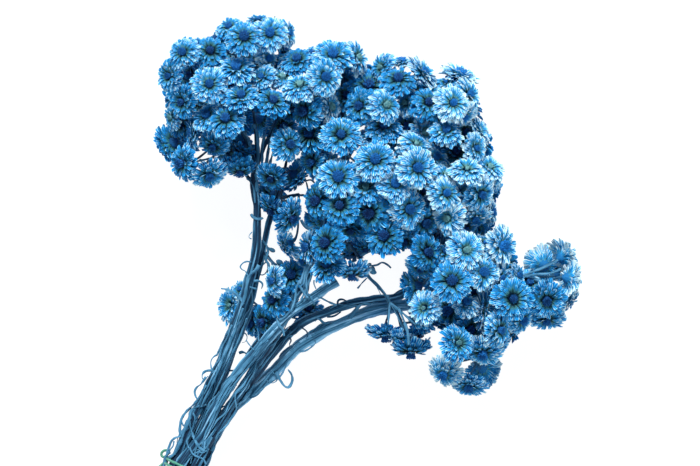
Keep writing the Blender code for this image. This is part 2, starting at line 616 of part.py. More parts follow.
def profile(name, points):
    """A closed flat curve to sweep along a path."""
    curve = bpy.data.curves.new(name, "CURVE")
    curve.dimensions = "2D"
    spline = curve.splines.new("POLY")
    spline.points.add(len(points) - 1)
    for target, (x, y) in zip(spline.points, points):
        target.co = (x, y, 0, 1)
    spline.use_cyclic_u = True
    thing = bpy.data.objects.new(name, curve)
    bpy.context.scene.collection.objects.link(thing)
    return thing


def ridged(corners, notch=1.0):
    """The corners of a section of radius one, every second one drawn in to leave ridges."""
    points = []
    for i in range(corners):
        radius = 1.0 if i % 2 == 0 else notch
        turn = 2 * math.pi * i / corners
        points.append((radius * math.cos(turn), radius * math.sin(turn)))
    return points


def sweep(name, path, radii, section, twist=0.0):
    """A capped solid of the section along the path, made as a curve and then welded as a mesh."""
    curve = bpy.data.curves.new(name + "_path", "CURVE")
    curve.dimensions = "3D"
    curve.bevel_mode = "OBJECT"
    curve.bevel_object = section
    curve.use_fill_caps = True
    spline = curve.splines.new("POLY")
    spline.points.add(len(path) - 1)
    for i, (point, radius) in enumerate(zip(path, radii)):
        spline.points[i].co = (*point, 1)
        spline.points[i].radius = radius
        spline.points[i].tilt = twist * i / (len(path) - 1)
    thing = bpy.data.objects.new(name + "_path", curve)
    bpy.context.scene.collection.objects.link(thing)
    graph = bpy.context.evaluated_depsgraph_get()
    mesh = bmesh.new()
    data = bpy.data.meshes.new_from_object(thing.evaluated_get(graph), depsgraph=graph)
    mesh.from_mesh(data)
    bmesh.ops.remove_doubles(mesh, verts=mesh.verts, dist=0.00002)
    bmesh.ops.triangulate(mesh, faces=mesh.faces)
    solid = finish_mesh(mesh, name)
    solid.matrix_world = thing.matrix_world.copy()
    bpy.data.objects.remove(thing)
    bpy.data.meshes.remove(data)
    return solid


def keep_largest(data):
    """Drop any loose scrap that joining has left beside the main body."""
    mesh = bmesh.new()
    mesh.from_mesh(data)
    unseen = set(mesh.verts)
    bodies = []
    while unseen:
        edge = [unseen.pop()]
        body = list(edge)
        while edge:
            point = edge.pop()
            for line in point.link_edges:
                other = line.other_vert(point)
                if other in unseen:
                    unseen.remove(other)
                    edge.append(other)
                    body.append(other)
        bodies.append(body)
    bodies.sort(key=len)
    for scrap in bodies[:-1]:
        bmesh.ops.delete(mesh, geom=scrap, context="VERTS")
    mesh.to_mesh(data)
    mesh.free()


def fuse(name, pieces, collection, materials):
    """Join the pieces of one stalk into a single solid."""
    body, rest = pieces[0], pieces[1:]
    for piece in pieces:
        piece.data.materials.clear()
        for material in materials:
            piece.data.materials.append(material)
    extras = bpy.data.collections.new(name + "_pieces")
    bpy.context.scene.collection.children.link(extras)
    for piece in rest:
        bpy.context.scene.collection.objects.unlink(piece)
        extras.objects.link(piece)
    joint = body.modifiers.new("join", "BOOLEAN")
    joint.operation = "UNION"
    joint.operand_type = "COLLECTION"
    joint.collection = extras
    joint.solver = "MANIFOLD"
    graph = bpy.context.evaluated_depsgraph_get()
    data = bpy.data.meshes.new_from_object(body.evaluated_get(graph), depsgraph=graph)
    data.name = name
    keep_largest(data)
    solid = bpy.data.objects.new(name, data)
    collection.objects.link(solid)
    for piece in list(extras.objects) + [body]:
        bpy.data.objects.remove(piece)
    bpy.data.collections.remove(extras)
    data.shade_flat()
    return solid


def plain_material(name, colour, roughness):
    """A Principled material of one colour."""
    material = bpy.data.materials.new(name)
    material.use_nodes = True
    shader = material.node_tree.nodes["Principled BSDF"]
    shader.inputs["Base Color"].default_value = (*colour, 1)
    shader.inputs["Roughness"].default_value = roughness
    shader.inputs["Metallic"].default_value = 0.0
    return material


def tie_wire(section):
    """The green wire: two turns round the bundle, a small loop and one loose end."""
    run = Vector((BUNDLE_RUN[0], BUNDLE_RUN[1], 0))
    side = Vector((BUNDLE_RUN[1], -BUNDLE_RUN[0], 0))
    middle = spot(*TIE)
    reach = (BUNDLE_RADIUS + 0.35) * MM + WIRE_RADIUS
    path = []
    steps = 30
    for i in range(steps + 1):
        turn = math.radians(200) - 2 * math.pi * 1.9 * i / steps
        slide = 0.0055 * (i / steps - 0.5)
        path.append(middle + run * slide + side * math.cos(turn) * reach
                    + Vector((0, 0, 1)) * math.sin(turn) * reach)
    outward = (path[0] - middle).normalized()
    loop = []
    for i in range(7):
        turn = math.radians(-150 + 48 * i)
        loop.append(path[0] + outward * (0.0030 + 0.0026 * math.cos(turn))
                    + run * 0.0026 * (math.sin(turn) + 0.6))
    tail = [path[-1] + (path[-1] - path[-2]).normalized() * 0.003 * i - run * 0.0012 * i * i
            for i in range(1, 4)]
    path = list(reversed(loop)) + path + tail
    return sweep("tie_wire", path, [WIRE_RADIUS] * len(path), section)


for old in list(bpy.data.objects):
    bpy.data.objects.remove(old)

bunch = bpy.data.collections.new("dried_strawflower")
bpy.context.scene.collection.children.link(bunch)

stalk_colour = plain_material("dyed_stalk", (0.05, 0.16, 0.29), 0.8)
petal_colour = plain_material("dyed_petals", (0.22, 0.52, 0.80), 0.75)
disc_colour = plain_material("dyed_disc", (0.02, 0.07, 0.30), 0.85)
wire_colour = plain_material("green_wire", (0.06, 0.30, 0.20), 0.45)

blooms = []
for stalk, rows in SEEN.items():
    blooms += [Bloom(stalk, *row) for row in rows]
for stalk, rows in DEEP.items():
    blooms += [Bloom(stalk, *row, deep=True) for row in rows]
for stalk, rows in HIDDEN.items():
    blooms += [Bloom(stalk, *row) for row in rows]

stem_dots, stem_owner, roots = [], [], {}
stalk_paths, branch_paths = {}, {}
for stalk, (_, (foot_radius, top_radius), way) in STALKS.items():
    path = smooth_path(stalk_points(stalk), 0.024)
    radii = [(foot_radius + (top_radius - foot_radius) * i / (len(path) - 1)) * MM
             for i in range(len(path))]
    stalk_paths[stalk] = (path, radii)
    fine = smooth_path(stalk_points(stalk), 0.003)
    for i, point in enumerate(fine):
        radius = (foot_radius + (top_radius - foot_radius) * i / (len(fine) - 1)) * MM
        stem_dots.append((*point, radius))
        stem_owner.append(stalk)
    branch_paths[stalk] = []
    roots[stalk] = [spot(*point) for point in way[4:]]
    for branch in BRANCHES[stalk]:
        points = [spot(*point) for point in branch]
        branch_paths[stalk].append(smooth_path(points, 0.020))
        for point in smooth_path(points, 0.003):
            stem_dots.append((*point, BRANCH_RADIUS))
            stem_owner.append(stalk)
        roots[stalk] += smooth_path(points, 0.005)[1:]

settle(blooms, np.array(stem_dots))
lay_pedicels(blooms, roots, stem_dots, stem_owner)

stalk_section = profile("stalk_section", ridged(6, 0.7))
branch_section = profile("branch_section", ridged(3))
wire_section = profile("wire_section", ridged(4))
leaf_section = profile("leaf_section", [(0.5 * LEAF_WIDTH, -0.5 * LEAF_THICKNESS),
                                        (0.5 * LEAF_WIDTH, 0.5 * LEAF_THICKNESS),
                                        (-0.5 * LEAF_WIDTH, 0.5 * LEAF_THICKNESS),
                                        (-0.5 * LEAF_WIDTH, -0.5 * LEAF_THICKNESS)])

for stalk, (path, radii) in stalk_paths.items():
    pieces = [sweep("stem", path, radii, stalk_section, math.radians(160))]
    for branch in branch_paths[stalk]:
        widths = [BRANCH_RADIUS * (1.15 - 0.35 * i / (len(branch) - 1)) for i in range(len(branch))]
        pieces.append(sweep("branch", branch, widths, branch_section))
    for leaf in LEAVES.get(stalk, ()):
        points = [spot(*point) for point in leaf]
        widths = [1.0] * (len(points) - 1) + [0.75]
        pieces.append(sweep("leaf", points, widths, leaf_section))
    pieces += [add_bloom(bloom) for bloom in blooms if bloom.stalk == stalk]
    fuse(stalk, pieces, bunch, (stalk_colour, petal_colour, disc_colour))

wire = tie_wire(wire_section)
bpy.context.scene.collection.objects.unlink(wire)
bunch.objects.link(wire)
wire.data.materials.append(wire_colour)
for section in (stalk_section, branch_section, wire_section, leaf_section):
    bpy.data.objects.remove(section)
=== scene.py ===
import math

import bpy
import numpy as np
from mathutils import Matrix, Vector


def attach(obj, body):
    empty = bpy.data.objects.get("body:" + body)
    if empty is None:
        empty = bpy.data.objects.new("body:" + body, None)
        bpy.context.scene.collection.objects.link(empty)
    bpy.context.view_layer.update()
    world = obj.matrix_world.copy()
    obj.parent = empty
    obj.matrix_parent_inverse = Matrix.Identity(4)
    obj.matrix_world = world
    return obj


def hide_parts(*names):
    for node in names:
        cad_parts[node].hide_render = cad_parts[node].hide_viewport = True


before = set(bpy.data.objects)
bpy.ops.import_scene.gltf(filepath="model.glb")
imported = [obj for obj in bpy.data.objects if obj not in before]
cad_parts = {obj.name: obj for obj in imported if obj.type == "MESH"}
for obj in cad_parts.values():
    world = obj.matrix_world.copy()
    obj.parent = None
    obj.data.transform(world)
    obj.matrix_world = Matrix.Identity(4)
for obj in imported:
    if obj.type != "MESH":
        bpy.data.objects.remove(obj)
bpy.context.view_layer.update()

# The bunch lies on a pale table and the camera looks straight down on it, as the photograph
# does. Lengths are in millimetres, and a pixel of the photograph is 0.6 of one on the table.

picture_width = 700
picture_middle = (350, 233)
pixel = 0.6
camera_place = (-2.208, 32.916, 2200)
film_width = 36

camera_data = bpy.data.cameras.new("camera")
camera_data.sensor_width = film_width
camera_data.lens = film_width * camera_place[2] / (picture_width * pixel)
camera = bpy.data.objects.new("camera", camera_data)
camera.location = Vector(camera_place) / 1000
bpy.context.scene.collection.objects.link(camera)
bpy.context.scene.camera = camera

# The table: a big matt sheet of white acrylic, lit evenly from below, very slightly mottled.

TABLE_REACH = 4
TABLE_BELOW = 0.0001
TABLE_GLOW = 0.94
TABLE_COLOURS = ((0, (0.16, 0.17, 0.18)), (1, (0.20, 0.20, 0.20)))


class Finish:
    """A material in the making, from its grain or noise to the shader that it ends in."""

    def __init__(self, name):
        self.material = bpy.data.materials.new(name)
        self.material.use_nodes = True
        self.tree = self.material.node_tree

    def give(self, node, inputs):
        """Each input takes a number, a colour, or what comes out of another node."""
        for socket, value in inputs.items():
            if isinstance(value, bpy.types.NodeSocket):
                self.tree.links.new(value, node.inputs[socket])
            else:
                node.inputs[socket].default_value = value

    def node(self, kind, inputs, **settings):
        node = self.tree.nodes.new("ShaderNode" + kind)
        for setting, value in settings.items():
            setattr(node, setting, value)
        self.give(node, inputs)
        return node

    def noise(self, scale, detail, roughness=0.5, over=None):
        """Noise over the object itself, or over the given vector."""
        if over is None:
            over = self.node("TexCoord", {}).outputs["Object"]
        inputs = {"Scale": scale, "Detail": detail, "Roughness": roughness, "Vector": over}
        return self.node("TexNoise", inputs).outputs["Fac"]

    def grain(self):
        """The mesh's three numbers of grain, as one vector and one by one."""
        whole = self.node("Attribute", {}, attribute_name="grain").outputs["Vector"]
        return whole, self.node("SeparateXYZ", {0: whole}).outputs

    def stretched(self, vector, by):
        return self.node("VectorMath", {0: vector, 1: by}, operation="MULTIPLY").outputs[0]

    def scaled(self, value, factor, plus):
        inputs = {0: value, 1: factor, 2: plus}
        return self.node("Math", inputs, operation="MULTIPLY_ADD").outputs[0]

    def between(self, value, low, high, start=0.0, end=1.0):
        """The value spread from its own start and end to between low and high."""
        inputs = {"Value": value, "From Min": start, "From Max": end, "To Min": low, "To Max": high}
        return self.node("MapRange", inputs).outputs["Result"]

    def colours(self, value, stops):
        """The colour for a value: each stop is a place and a colour."""
        ramp = self.node("ValToRGB", {"Fac": value})
        ends = ramp.color_ramp.elements
        for end, (place, colour) in zip((ends[0], ends[1]), (stops[0], stops[-1])):
            end.position = place
            end.color = (*colour, 1)
        for place, colour in stops[1:-1]:
            ends.new(place).color = (*colour, 1)
        return ramp.outputs["Color"]

    def shade(self, inputs):
        self.give(self.tree.nodes["Principled BSDF"], inputs)
        return self.material

    def rough_surface(self, colour, gloss, roughness, relief, strength, depth):
        """A coloured surface with a fine relief, its depth in metres."""
        bump = self.node("Bump", {"Height": relief, "Strength": strength, "Distance": depth})
        return self.shade({"Base Color": colour, "Specular IOR Level": gloss, "Roughness": roughness,
                           "Normal": bump.outputs["Normal"]})


acrylic = Finish("white_acrylic")
white_acrylic = acrylic.shade({
    "Base Color": acrylic.colours(acrylic.noise(60, detail=3), TABLE_COLOURS),
    "Roughness": 0.9, "Specular IOR Level": 0.1,
    "Emission Color": (1, 1, 1, 1), "Emission Strength": TABLE_GLOW,
})
corners = [(x * TABLE_REACH, y * TABLE_REACH, 0) for x, y in ((-1, -1), (1, -1), (1, 1), (-1, 1))]
table_data = bpy.data.meshes.new("table")
table_data.from_pydata(corners, [], [(0, 1, 2, 3)])
table_data.materials.append(white_acrylic)
table = bpy.data.objects.new("table", table_data)
table.location = (0, 0, -TABLE_BELOW)
bpy.context.scene.collection.objects.link(table)

# Light: a soft studio key from beyond the top of the photograph, a weak fill from its lower
# right, and an even pale blue room.

LAMPS = (
    # name, strength, spread in degrees, and the way towards it
    ("key", 3.6, 24, (-0.10, 0.68, 0.72)),
    ("fill", 0.9, 50, (0.60, -0.55, 0.58)),
)
LAMP_COLOUR = (0.95, 0.98, 1.0)
ROOM_COLOUR = (0.50, 0.79, 1.0, 1)
ROOM_GLOW = 0.42

for name, energy, spread, toward in LAMPS:
    lamp_data = bpy.data.lights.new(name, "SUN")
    lamp_data.energy = energy
    lamp_data.angle = math.radians(spread)
    lamp_data.color = LAMP_COLOUR
    lamp = bpy.data.objects.new(name, lamp_data)
    lamp.rotation_mode = "QUATERNION"
    lamp.rotation_quaternion = Vector(toward).to_track_quat("Z", "Y")
    bpy.context.scene.collection.objects.link(lamp)

room = bpy.data.worlds.new("room")
room.use_nodes = True
room.node_tree.nodes["Background"].inputs["Color"].default_value = ROOM_COLOUR
room.node_tree.nodes["Background"].inputs["Strength"].default_value = ROOM_GLOW
bpy.context.scene.world = room
bpy.context.scene.view_settings.view_transform = "Standard"

# The left stalk. The real one is a dry winged stem, blue right through from its dyeing: a straight
# fibrous core with thin paper-like wings along it, brighter on their edges, partly from wear and
# partly a painted highlight, with painted shade between them. It splits near the top into
# branches, and each branch carries flower heads on thin wiry pedicels.

# The bundle where the wire holds it: its pixel and height, its radius and the way it runs. Its
# cut ends are this far below the wire, and spread by this much.
TIE_PLACE = (186, 468, 13.4)
BUNDLE_RADIUS = 11.4
BUNDLE_RUN = np.array((0.42, 0.907, 0))
BUNDLE_SIDE = np.array((0.907, -0.42, 0))
FOOT_BELOW_TIE = 54
FOOT_SPREAD = 1.06
# A stem: its core and how far its wings reach, as shares of its radius, how high the wings are
# on average, at least and at most, and their breadth and unevenness round it, in radians.
STEM_RING_GAP = 1.8
STEM_SIDES, TWIG_SIDES = 36, 12
CORE, WING_REACH = 0.62, 0.42
WING_HEIGHT, WING_BREADTH = 0.74, 0.23
WING_LIMITS = (0.1, 1.1)
UNEVEN_WINGS = 0.3
# These four wander along it: the length over which each turns over, and how far it goes.
STEM_SWELLS = (60, 0.07)
WINGS_DRIFT = (120, 0.35)
WINGS_FRAY = (38, 0.40)
WINGS_SPREAD = (50, 0.08)
FIBRE_RIDGES = (
    # how many round the stem, how high, how far they drift, and over what length
    (11, 0.045, 2.4, 70),
    (5, 0.035, -3.0, 90),
)
# How much paler a fibre ridge is than its groove, a painted highlight and shade, and the shares of
# its length where a stalk's wear and its painted light and shade are given.
FIBRE_SHOWS = 5
WEAR_AND_LIGHT_PLACES = (0.2, 0.5, 1.0)
# Strands: how many rings of the stem they pass, their thickness, arches and turn, how deep
# between the wings they lie, how pale they are, and how they wander, as above.
STRAND_RINGS = (9, 34)
SHORTEST_STRAND = 6
STRAND_RADIUS, STRAND_VARIES, STRAND_TAPER = 0.42, 0.5, 0.6
STRAND_ARCH = 2.2
STRAND_TURN = 2.5
STRAND_LIES, STRAND_PROUD = 0.86, 0.1
STRAND_FLAT = 0.5
STRAND_PALE, STRAND_PALER = 0.35, 0.6
STRANDS_DRIFT = (60, 1.1)
STRANDS_ARCH = (15, 0.3)
STRANDS_TWIST = (60, 2)
# Pedicels: their thickness, and how they rise from their joint.
PEDICEL_RADIUS, PEDICEL_WAIST, PEDICEL_FLARE = 0.78, 0.14, 0.35
PEDICELS_SWELL = (9, 0.08)
PEDICEL_FLAT, PEDICEL_PALE = 0.85, 0.35
PEDICEL_POINTS, TRIED_POINTS = 15, 10
PEDICEL_LEAVES = 0.33
PEDICEL_LIFT = np.array((0, 0, 0.12))
# Of the joints and swings, each head takes the one whose pedicel costs least: its length, and
# more where it turns back, shares a joint, touches another head or comes near the table.
SWINGS = np.array((0.2, 0.35, 0.5, 0.7))
TURN_COST, CROWD_COST, TOUCH_COST, TABLE_COST = 12, 6, 8, 30
CLEAR_OF_HEADS, CLEAR_OF_TABLE = 0.5, 2
BETWEEN_ENDS = slice(2, 9)
HEAD_THICK = 0.6
# The fibre's colours, from the near black between the wings, a painted shade, to the pale of their edges,
# partly wear and partly a painted highlight.
FIBRE_COLOURS = (
    (0.16, (0.005, 0.024, 0.06)), (0.36, (0.015, 0.075, 0.15)), (0.56, (0.042, 0.17, 0.29)),
    (0.76, (0.11, 0.32, 0.50)), (1.0, (0.32, 0.60, 0.82)),
)


def spot(x, y, height):
    """The place that the camera sees at this pixel, at this height above the table."""
    nearer = pixel * (1 - height / camera_place[2])
    return np.array((camera_place[0] + (x - picture_middle[0]) * nearer,
                     camera_place[1] - (y - picture_middle[1]) * nearer, height))


def spots(points):
    return np.array([spot(*point) for point in points])


def whole_way(across, up, radius, way):
    """A stalk's own way: its cut end, its place in the bundle under the wire, and then up."""
    offset = BUNDLE_RADIUS - radius
    low = []
    for below, spread in ((FOOT_BELOW_TIE, FOOT_SPREAD), (0, 1)):
        x = TIE_PLACE[0] + (across * BUNDLE_RUN[1] * offset * spread - below * BUNDLE_RUN[0]) / pixel
        y = TIE_PLACE[1] + (across * BUNDLE_RUN[0] * offset * spread + below * BUNDLE_RUN[1]) / pixel
        low.append((x, y, TIE_PLACE[2] + up * offset * spread))
    return spots((*low, *way))


def smooth_path(points, step):
    """Points about a step apart on a smooth curve through the given ones."""
    points = np.asarray(points, float)
    ends = np.vstack([2 * points[0] - points[1], points, 2 * points[-1] - points[-2]])
    path = []
    for before, start, end, after in zip(ends, ends[1:], ends[2:], ends[3:]):
        count = max(1, round(np.linalg.norm(end - start) / step))
        t = (np.arange(count) / count)[:, None]
        path.append(0.5 * (2 * start + (end - before) * t
                           + (2 * before - 5 * start + 4 * end - after) * t ** 2
                           + (3 * start - before - 3 * end + after) * t ** 3))
    path.append(points[-1:])
    return np.vstack(path)


def lengths_along(path):
    return np.concatenate([[0], np.cumsum(np.linalg.norm(np.diff(path, axis=0), axis=1))])


def turns_round(count):
    """Evenly spaced angles, once round."""
    return np.arange(count) * 2 * math.pi / count


def pinched(rings, path):
    """The rings with one more at each end, drawn together to a point of the path."""
    return np.concatenate([path[:1, None] + 0 * rings[:1], rings, path[-1:, None] + 0 * rings[:1]])


def frames_along(path):
    """The way ahead and two directions across it, at each point of a path."""
    ahead = np.gradient(path, axis=0)
    ahead /= np.linalg.norm(ahead, axis=1)[:, None]
    side = np.cross(ahead[0], (0.3, 0.2, 0.93))
    sides = []
    for way in ahead:
        side = side - way * side.dot(way)
        side = side / np.linalg.norm(side)
        sides.append(side)
    sides = np.array(sides)
    return ahead, sides, np.cross(ahead, sides)


def wander(rng, places, reach, far=1):
    """A smooth wavering along a length, to about far either way, turning over about every reach."""
    total = np.zeros(len(places))
    for pace, weight in ((1.0, 0.6), (2.3, 0.3), (4.7, 0.15)):
        total += weight * np.sin(2 * math.pi * (places * pace / reach + rng.random()))
    return far * total


class Pile:
    """Grids of points gathered for one mesh, with three numbers of grain at each point."""

    def __init__(self):
        self.points, self.grains, self.faces, self.slots, self.size = [], [], [], [], 0

    def add(self, points, grain, slot=0, closed=False):
        """Many grids at once: points and grain are (grids, rows, columns, 3)."""
        count, rows, columns, _ = points.shape
        index = np.arange(count * rows * columns).reshape(count, rows, columns) + self.size
        across = np.arange(columns if closed else columns - 1)
        after = (across + 1) % columns
        quads = np.stack([index[:, :-1][:, :, across], index[:, :-1][:, :, after],
                          index[:, 1:][:, :, after], index[:, 1:][:, :, across]], axis=-1)
        self.points.append(points.reshape(-1, 3))
        self.grains.append(np.broadcast_to(grain, points.shape).reshape(-1, 3))
        self.faces.append(quads.reshape(-1, 4))
        self.slots.append(np.full(self.faces[-1].shape[0], slot))
        self.size += count * rows * columns

    def make(self, name, materials):
        """The mesh object, smooth, with its millimetres turned into metres."""
        points, faces = np.vstack(self.points) * 0.001, np.vstack(self.faces)
        mesh = bpy.data.meshes.new(name)
        mesh.vertices.add(len(points))
        mesh.vertices.foreach_set("co", points.ravel())
        mesh.loops.add(faces.size)
        mesh.loops.foreach_set("vertex_index", faces.ravel())
        mesh.polygons.add(len(faces))
        mesh.polygons.foreach_set("loop_start", np.arange(len(faces)) * 4)
        mesh.polygons.foreach_set("material_index", np.concatenate(self.slots))
        grain = mesh.attributes.new("grain", "FLOAT_VECTOR", "POINT")
        grain.data.foreach_set("vector", np.vstack(self.grains).ravel())
        mesh.update(calc_edges=True)
        mesh.validate()
        mesh.shade_smooth()
        for material in materials:
            mesh.materials.append(material)
        thing = bpy.data.objects.new(name, mesh)
        bpy.context.scene.collection.objects.link(thing)
        return thing


def tube(pile, path, wide, flat=1.0, turn=0.0, sides=6, lift=0.5, slot=0):
    """A round or flattened strand along a path, pinched shut at both ends."""
    ahead, side, up = frames_along(path)
    count = len(path)
    wide, flat, turn = (np.broadcast_to(v, count)[:, None, None] for v in (wide, flat, turn))
    angle = turns_round(sides)[None, :, None]
    broad = np.cos(turn) * side[:, None] + np.sin(turn) * up[:, None]
    thin = np.cos(turn) * up[:, None] - np.sin(turn) * side[:, None]
    rings = path[:, None] + wide * (broad * np.cos(angle) + thin * flat * np.sin(angle))
    rings = pinched(rings, path)
    length = lengths_along(path)
    length = np.concatenate([[0], length, length[-1:]])
    grain = np.empty(rings.shape)
    grain[..., 0] = length[:, None]
    grain[..., 1] = np.arange(sides) * 2.0 / sides
    grain[..., 2] = lift
    pile.add(rings[None], grain[None], slot, closed=True)


def stem(pile, way, foot_radius, top_radius, wings, rng, turns=0.35, wear_and_light=(0, 0, 0), sides=STEM_SIDES):
    """A winged stem: its wings stand out by turns, drift round it and fray in places."""
    path = smooth_path(way, STEM_RING_GAP)
    ahead, side, up = frames_along(path)
    length = lengths_along(path)
    share = length / length[-1]
    radius = foot_radius + (top_radius - foot_radius) * share
    radius = radius * (1 + wander(rng, length, *STEM_SWELLS))
    angle = turns_round(sides)
    ridge = np.zeros((len(path), sides))
    for k in range(wings):
        middle = 2 * math.pi * (k / wings + turns * share) + wander(rng, length, *WINGS_DRIFT)
        middle = middle + UNEVEN_WINGS * k % 1
        height = np.clip(WING_HEIGHT + wander(rng, length, *WINGS_FRAY), *WING_LIMITS)
        breadth = WING_BREADTH + wander(rng, length, *WINGS_SPREAD)
        apart = (angle[None] - middle[:, None] + math.pi) % (2 * math.pi) - math.pi
        ridge = np.maximum(ridge, height[:, None] * np.exp(-(apart / breadth[:, None]) ** 2))
    fibre = np.zeros_like(ridge)
    for count, high, drift, reach in FIBRE_RIDGES:
        fibre += high * np.sin(count * angle[None] + drift * wander(rng, length, reach)[:, None])
    out = radius[:, None] * (CORE + WING_REACH * ridge + fibre)
    rings = path[:, None] + out[..., None] * (side[:, None] * np.cos(angle)[None, :, None]
                                              + up[:, None] * np.sin(angle)[None, :, None])
    rings = pinched(rings, path)
    grain = np.empty(rings.shape)
    grain[..., 0] = np.concatenate([[0], length, length[-1:]])[:, None]
    grain[..., 1] = angle / math.pi * radius.mean()
    # The paleness: higher on the wing edges and fibre ridges, partly wear and partly a painted highlight,
    # lower between them as painted shade, and along the stalk its own painted light and shade.
    ridge = ridge + FIBRE_SHOWS * fibre + np.interp(share, WEAR_AND_LIGHT_PLACES, wear_and_light)[:, None]
    grain[..., 2] = np.concatenate([ridge[:1], ridge, ridge[-1:]])
    pile.add(rings[None], grain[None], 0, closed=True)
    return path, radius, side, up, length


def strands(pile, body, count, rng, start=0.0, end=0.7):
    """Thin torn wing edges that run along a stem, leave it in low arches and come back."""
    path, radius, side, up, length = body
    for _ in range(count):
        first = int(len(path) * (start + (end - start) * rng.random()))
        last = min(len(path) - 1, first + int(rng.integers(*STRAND_RINGS)))
        if last - first < SHORTEST_STRAND:
            continue
        span = slice(first, last + 1)
        steps = length[span] - length[first]
        share = steps / steps[-1]
        angle = rng.random() * 2 * math.pi + wander(rng, steps, *STRANDS_DRIFT)
        angle = angle + (rng.random() - 0.5) * STRAND_TURN * share
        arch = rng.random() ** 4 * STRAND_ARCH * np.sin(math.pi * share) ** 1.5
        arch = arch * (1 + wander(rng, steps, *STRANDS_ARCH))
        out = radius[span] * STRAND_LIES + STRAND_PROUD + arch
        way = (path[span] + out[:, None] * (side[span] * np.cos(angle)[:, None]
                                            + up[span] * np.sin(angle)[:, None]))
        wide = STRAND_RADIUS + STRAND_VARIES * rng.random() ** 2
        wide = wide * (1 - STRAND_TAPER * np.abs(2 * share - 1) ** 4)
        twist = wander(rng, steps, *STRANDS_TWIST)
        tube(pile, way, wide, STRAND_FLAT, twist, lift=STRAND_PALE + STRAND_PALER * rng.random())


def pedicel_ways(roots, neck, face, swings, count):
    """Smooth ways from each root to the back of a head: swings say how straight they come to it."""
    reach = np.linalg.norm(neck - roots, axis=-1, keepdims=True)
    first = roots + (neck - roots) * PEDICEL_LEAVES + PEDICEL_LIFT * reach * (1 - swings)
    last = neck - face * reach * swings
    t = np.linspace(0, 1, count)[:, None]
    s = 1 - t
    return roots * s ** 3 + first * 3 * s * s * t + last * 3 * s * t * t + neck * t ** 3


def rooted(joints, used, place, neck, face, others, sizes):
    """The joint and swing that give a short pedicel, clear of the other heads and of the table."""
    swings = SWINGS[None, :, None, None]
    ways = pedicel_ways(joints[:, None, None], neck, face, swings, TRIED_POINTS)
    cost = np.linalg.norm(np.diff(ways, axis=2), axis=3).sum(axis=2)
    away = place - joints
    ahead = away @ face / np.linalg.norm(away, axis=1)
    cost += (TURN_COST * (1 - ahead) + CROWD_COST * used)[:, None]
    gaps = np.linalg.norm(ways[:, :, BETWEEN_ENDS, None] - others, axis=4) - HEAD_THICK * sizes
    cost += TOUCH_COST * np.clip(CLEAR_OF_HEADS - gaps.min(axis=(2, 3)), 0, None)
    cost += TABLE_COST * np.clip(CLEAR_OF_TABLE - ways[..., 2].min(axis=2), 0, None)
    joint, swing = np.unravel_index(cost.argmin(), cost.shape)
    used[joint] += 1
    return joints[joint], SWINGS[swing]


def pedicel(pile, neck, face, root, swing, rng):
    """The wiry stalk of one flower head, from its joint to the back of the head. It is slimmer in
    the middle and flares over its last sixth."""
    path = pedicel_ways(root, neck, face, swing, PEDICEL_POINTS)
    share = np.linspace(0, 1, PEDICEL_POINTS)
    reach = np.linalg.norm(neck - root)
    wide = PEDICEL_RADIUS - PEDICEL_WAIST * np.sin(math.pi * share)
    wide = wide + PEDICEL_FLARE * np.clip(share * 6 - 5, 0, 1)
    wide = wide * (1 + wander(rng, share * reach, *PEDICELS_SWELL))
    tube(pile, path, wide, PEDICEL_FLAT, lift=PEDICEL_PALE)


def stalk_material():
    """Dry fibre: dark blue-grey between the wings, a painted shade, and pale dusty blue on their
    edges, partly wear and partly a painted highlight.
    """
    finish = Finish("stalk_fibre")
    grain, (_, _, wear_and_light) = finish.grain()
    fibre = finish.noise(1, detail=5, roughness=0.65, over=finish.stretched(grain, (0.12, 2.6, 0)))
    blotch = finish.noise(90, detail=4)
    tone = finish.scaled(fibre, 0.75, finish.scaled(wear_and_light, 0.66, -0.34))
    tone = finish.scaled(tone, 1, finish.scaled(blotch, 0.35, -0.02))
    return finish.rough_surface(finish.colours(tone, FIBRE_COLOURS), gloss=0.3, relief=fibre,
                                roughness=finish.between(fibre, 0.82, 0.58), strength=0.7, depth=0.0004)


stalk_fibre = stalk_material()

# The flower heads. A real one is a button of tiny tube flowers in a ruff of dry papery bracts,
# three or four rows deep, each bract pleated lengthwise, pale at its frayed tip and greenish at
# its foot, over a small cup of dark scales. It grew as one piece on its pedicel.

# Sizes on a head are shares of its radius, and rises are in degrees. Deep heads are those behind.
HEAD_LAYERS = (
    # how many bracts, foot radius and height, length, rise at foot and tip, half width, paleness
    (26, 0.26, -0.20, 0.82, 15, -21, 0.136, 0.36),
    (24, 0.25, -0.13, 0.77, 22, -12, 0.124, 0.0),
    (21, 0.24, -0.06, 0.66, 31, -2, 0.106, 0.0),
    (14, 0.22, 0.0, 0.49, 43, 12, 0.092, 0.0),
)
SCALES = (14, 0.26, -0.34, 0.46, 34, 8, 0.125, 0.30)
DEEP_HEAD_LAYERS = (
    (19, 0.26, -0.18, 0.80, 17, -18, 0.155, 0.30),
    (17, 0.26, -0.09, 0.71, 28, -5, 0.145, 0.0),
    (12, 0.25, 0.0, 0.53, 43, 12, 0.120, 0.0),
)
DEEP_SCALES = (10, 0.26, -0.34, 0.46, 34, 8, 0.155, 0.30)
HEAD_SPREAD = 1.1
# A bract lengthwise: where its rows of points are, and its width there.
BRACT_ROWS = np.array((0.0, 0.32, 0.58, 0.80, 0.94, 1.0))
BRACT_WIDTHS = np.array((0.32, 0.56, 0.86, 1.0, 0.90, 0.52))
DEEP_BRACT_ROWS = np.array((0.0, 0.45, 0.85, 1.0))
DEEP_BRACT_WIDTHS = np.array((0.42, 0.85, 1.0, 0.50))
# And across: where the points are, how far each is folded up, and how much paler it is: a painted
# highlight on the edges and the middle rib, painted shade in the folds between.
BRACT_ACROSS = np.array((-1.0, -0.52, 0.0, 0.52, 1.0))
BRACT_FOLD = np.array((0.36, -0.05, 0.28, -0.05, 0.36))
PLEAT_HIGHLIGHT_AND_SHADE = np.array((0.34, -0.32, 0.12, -0.32, 0.34))
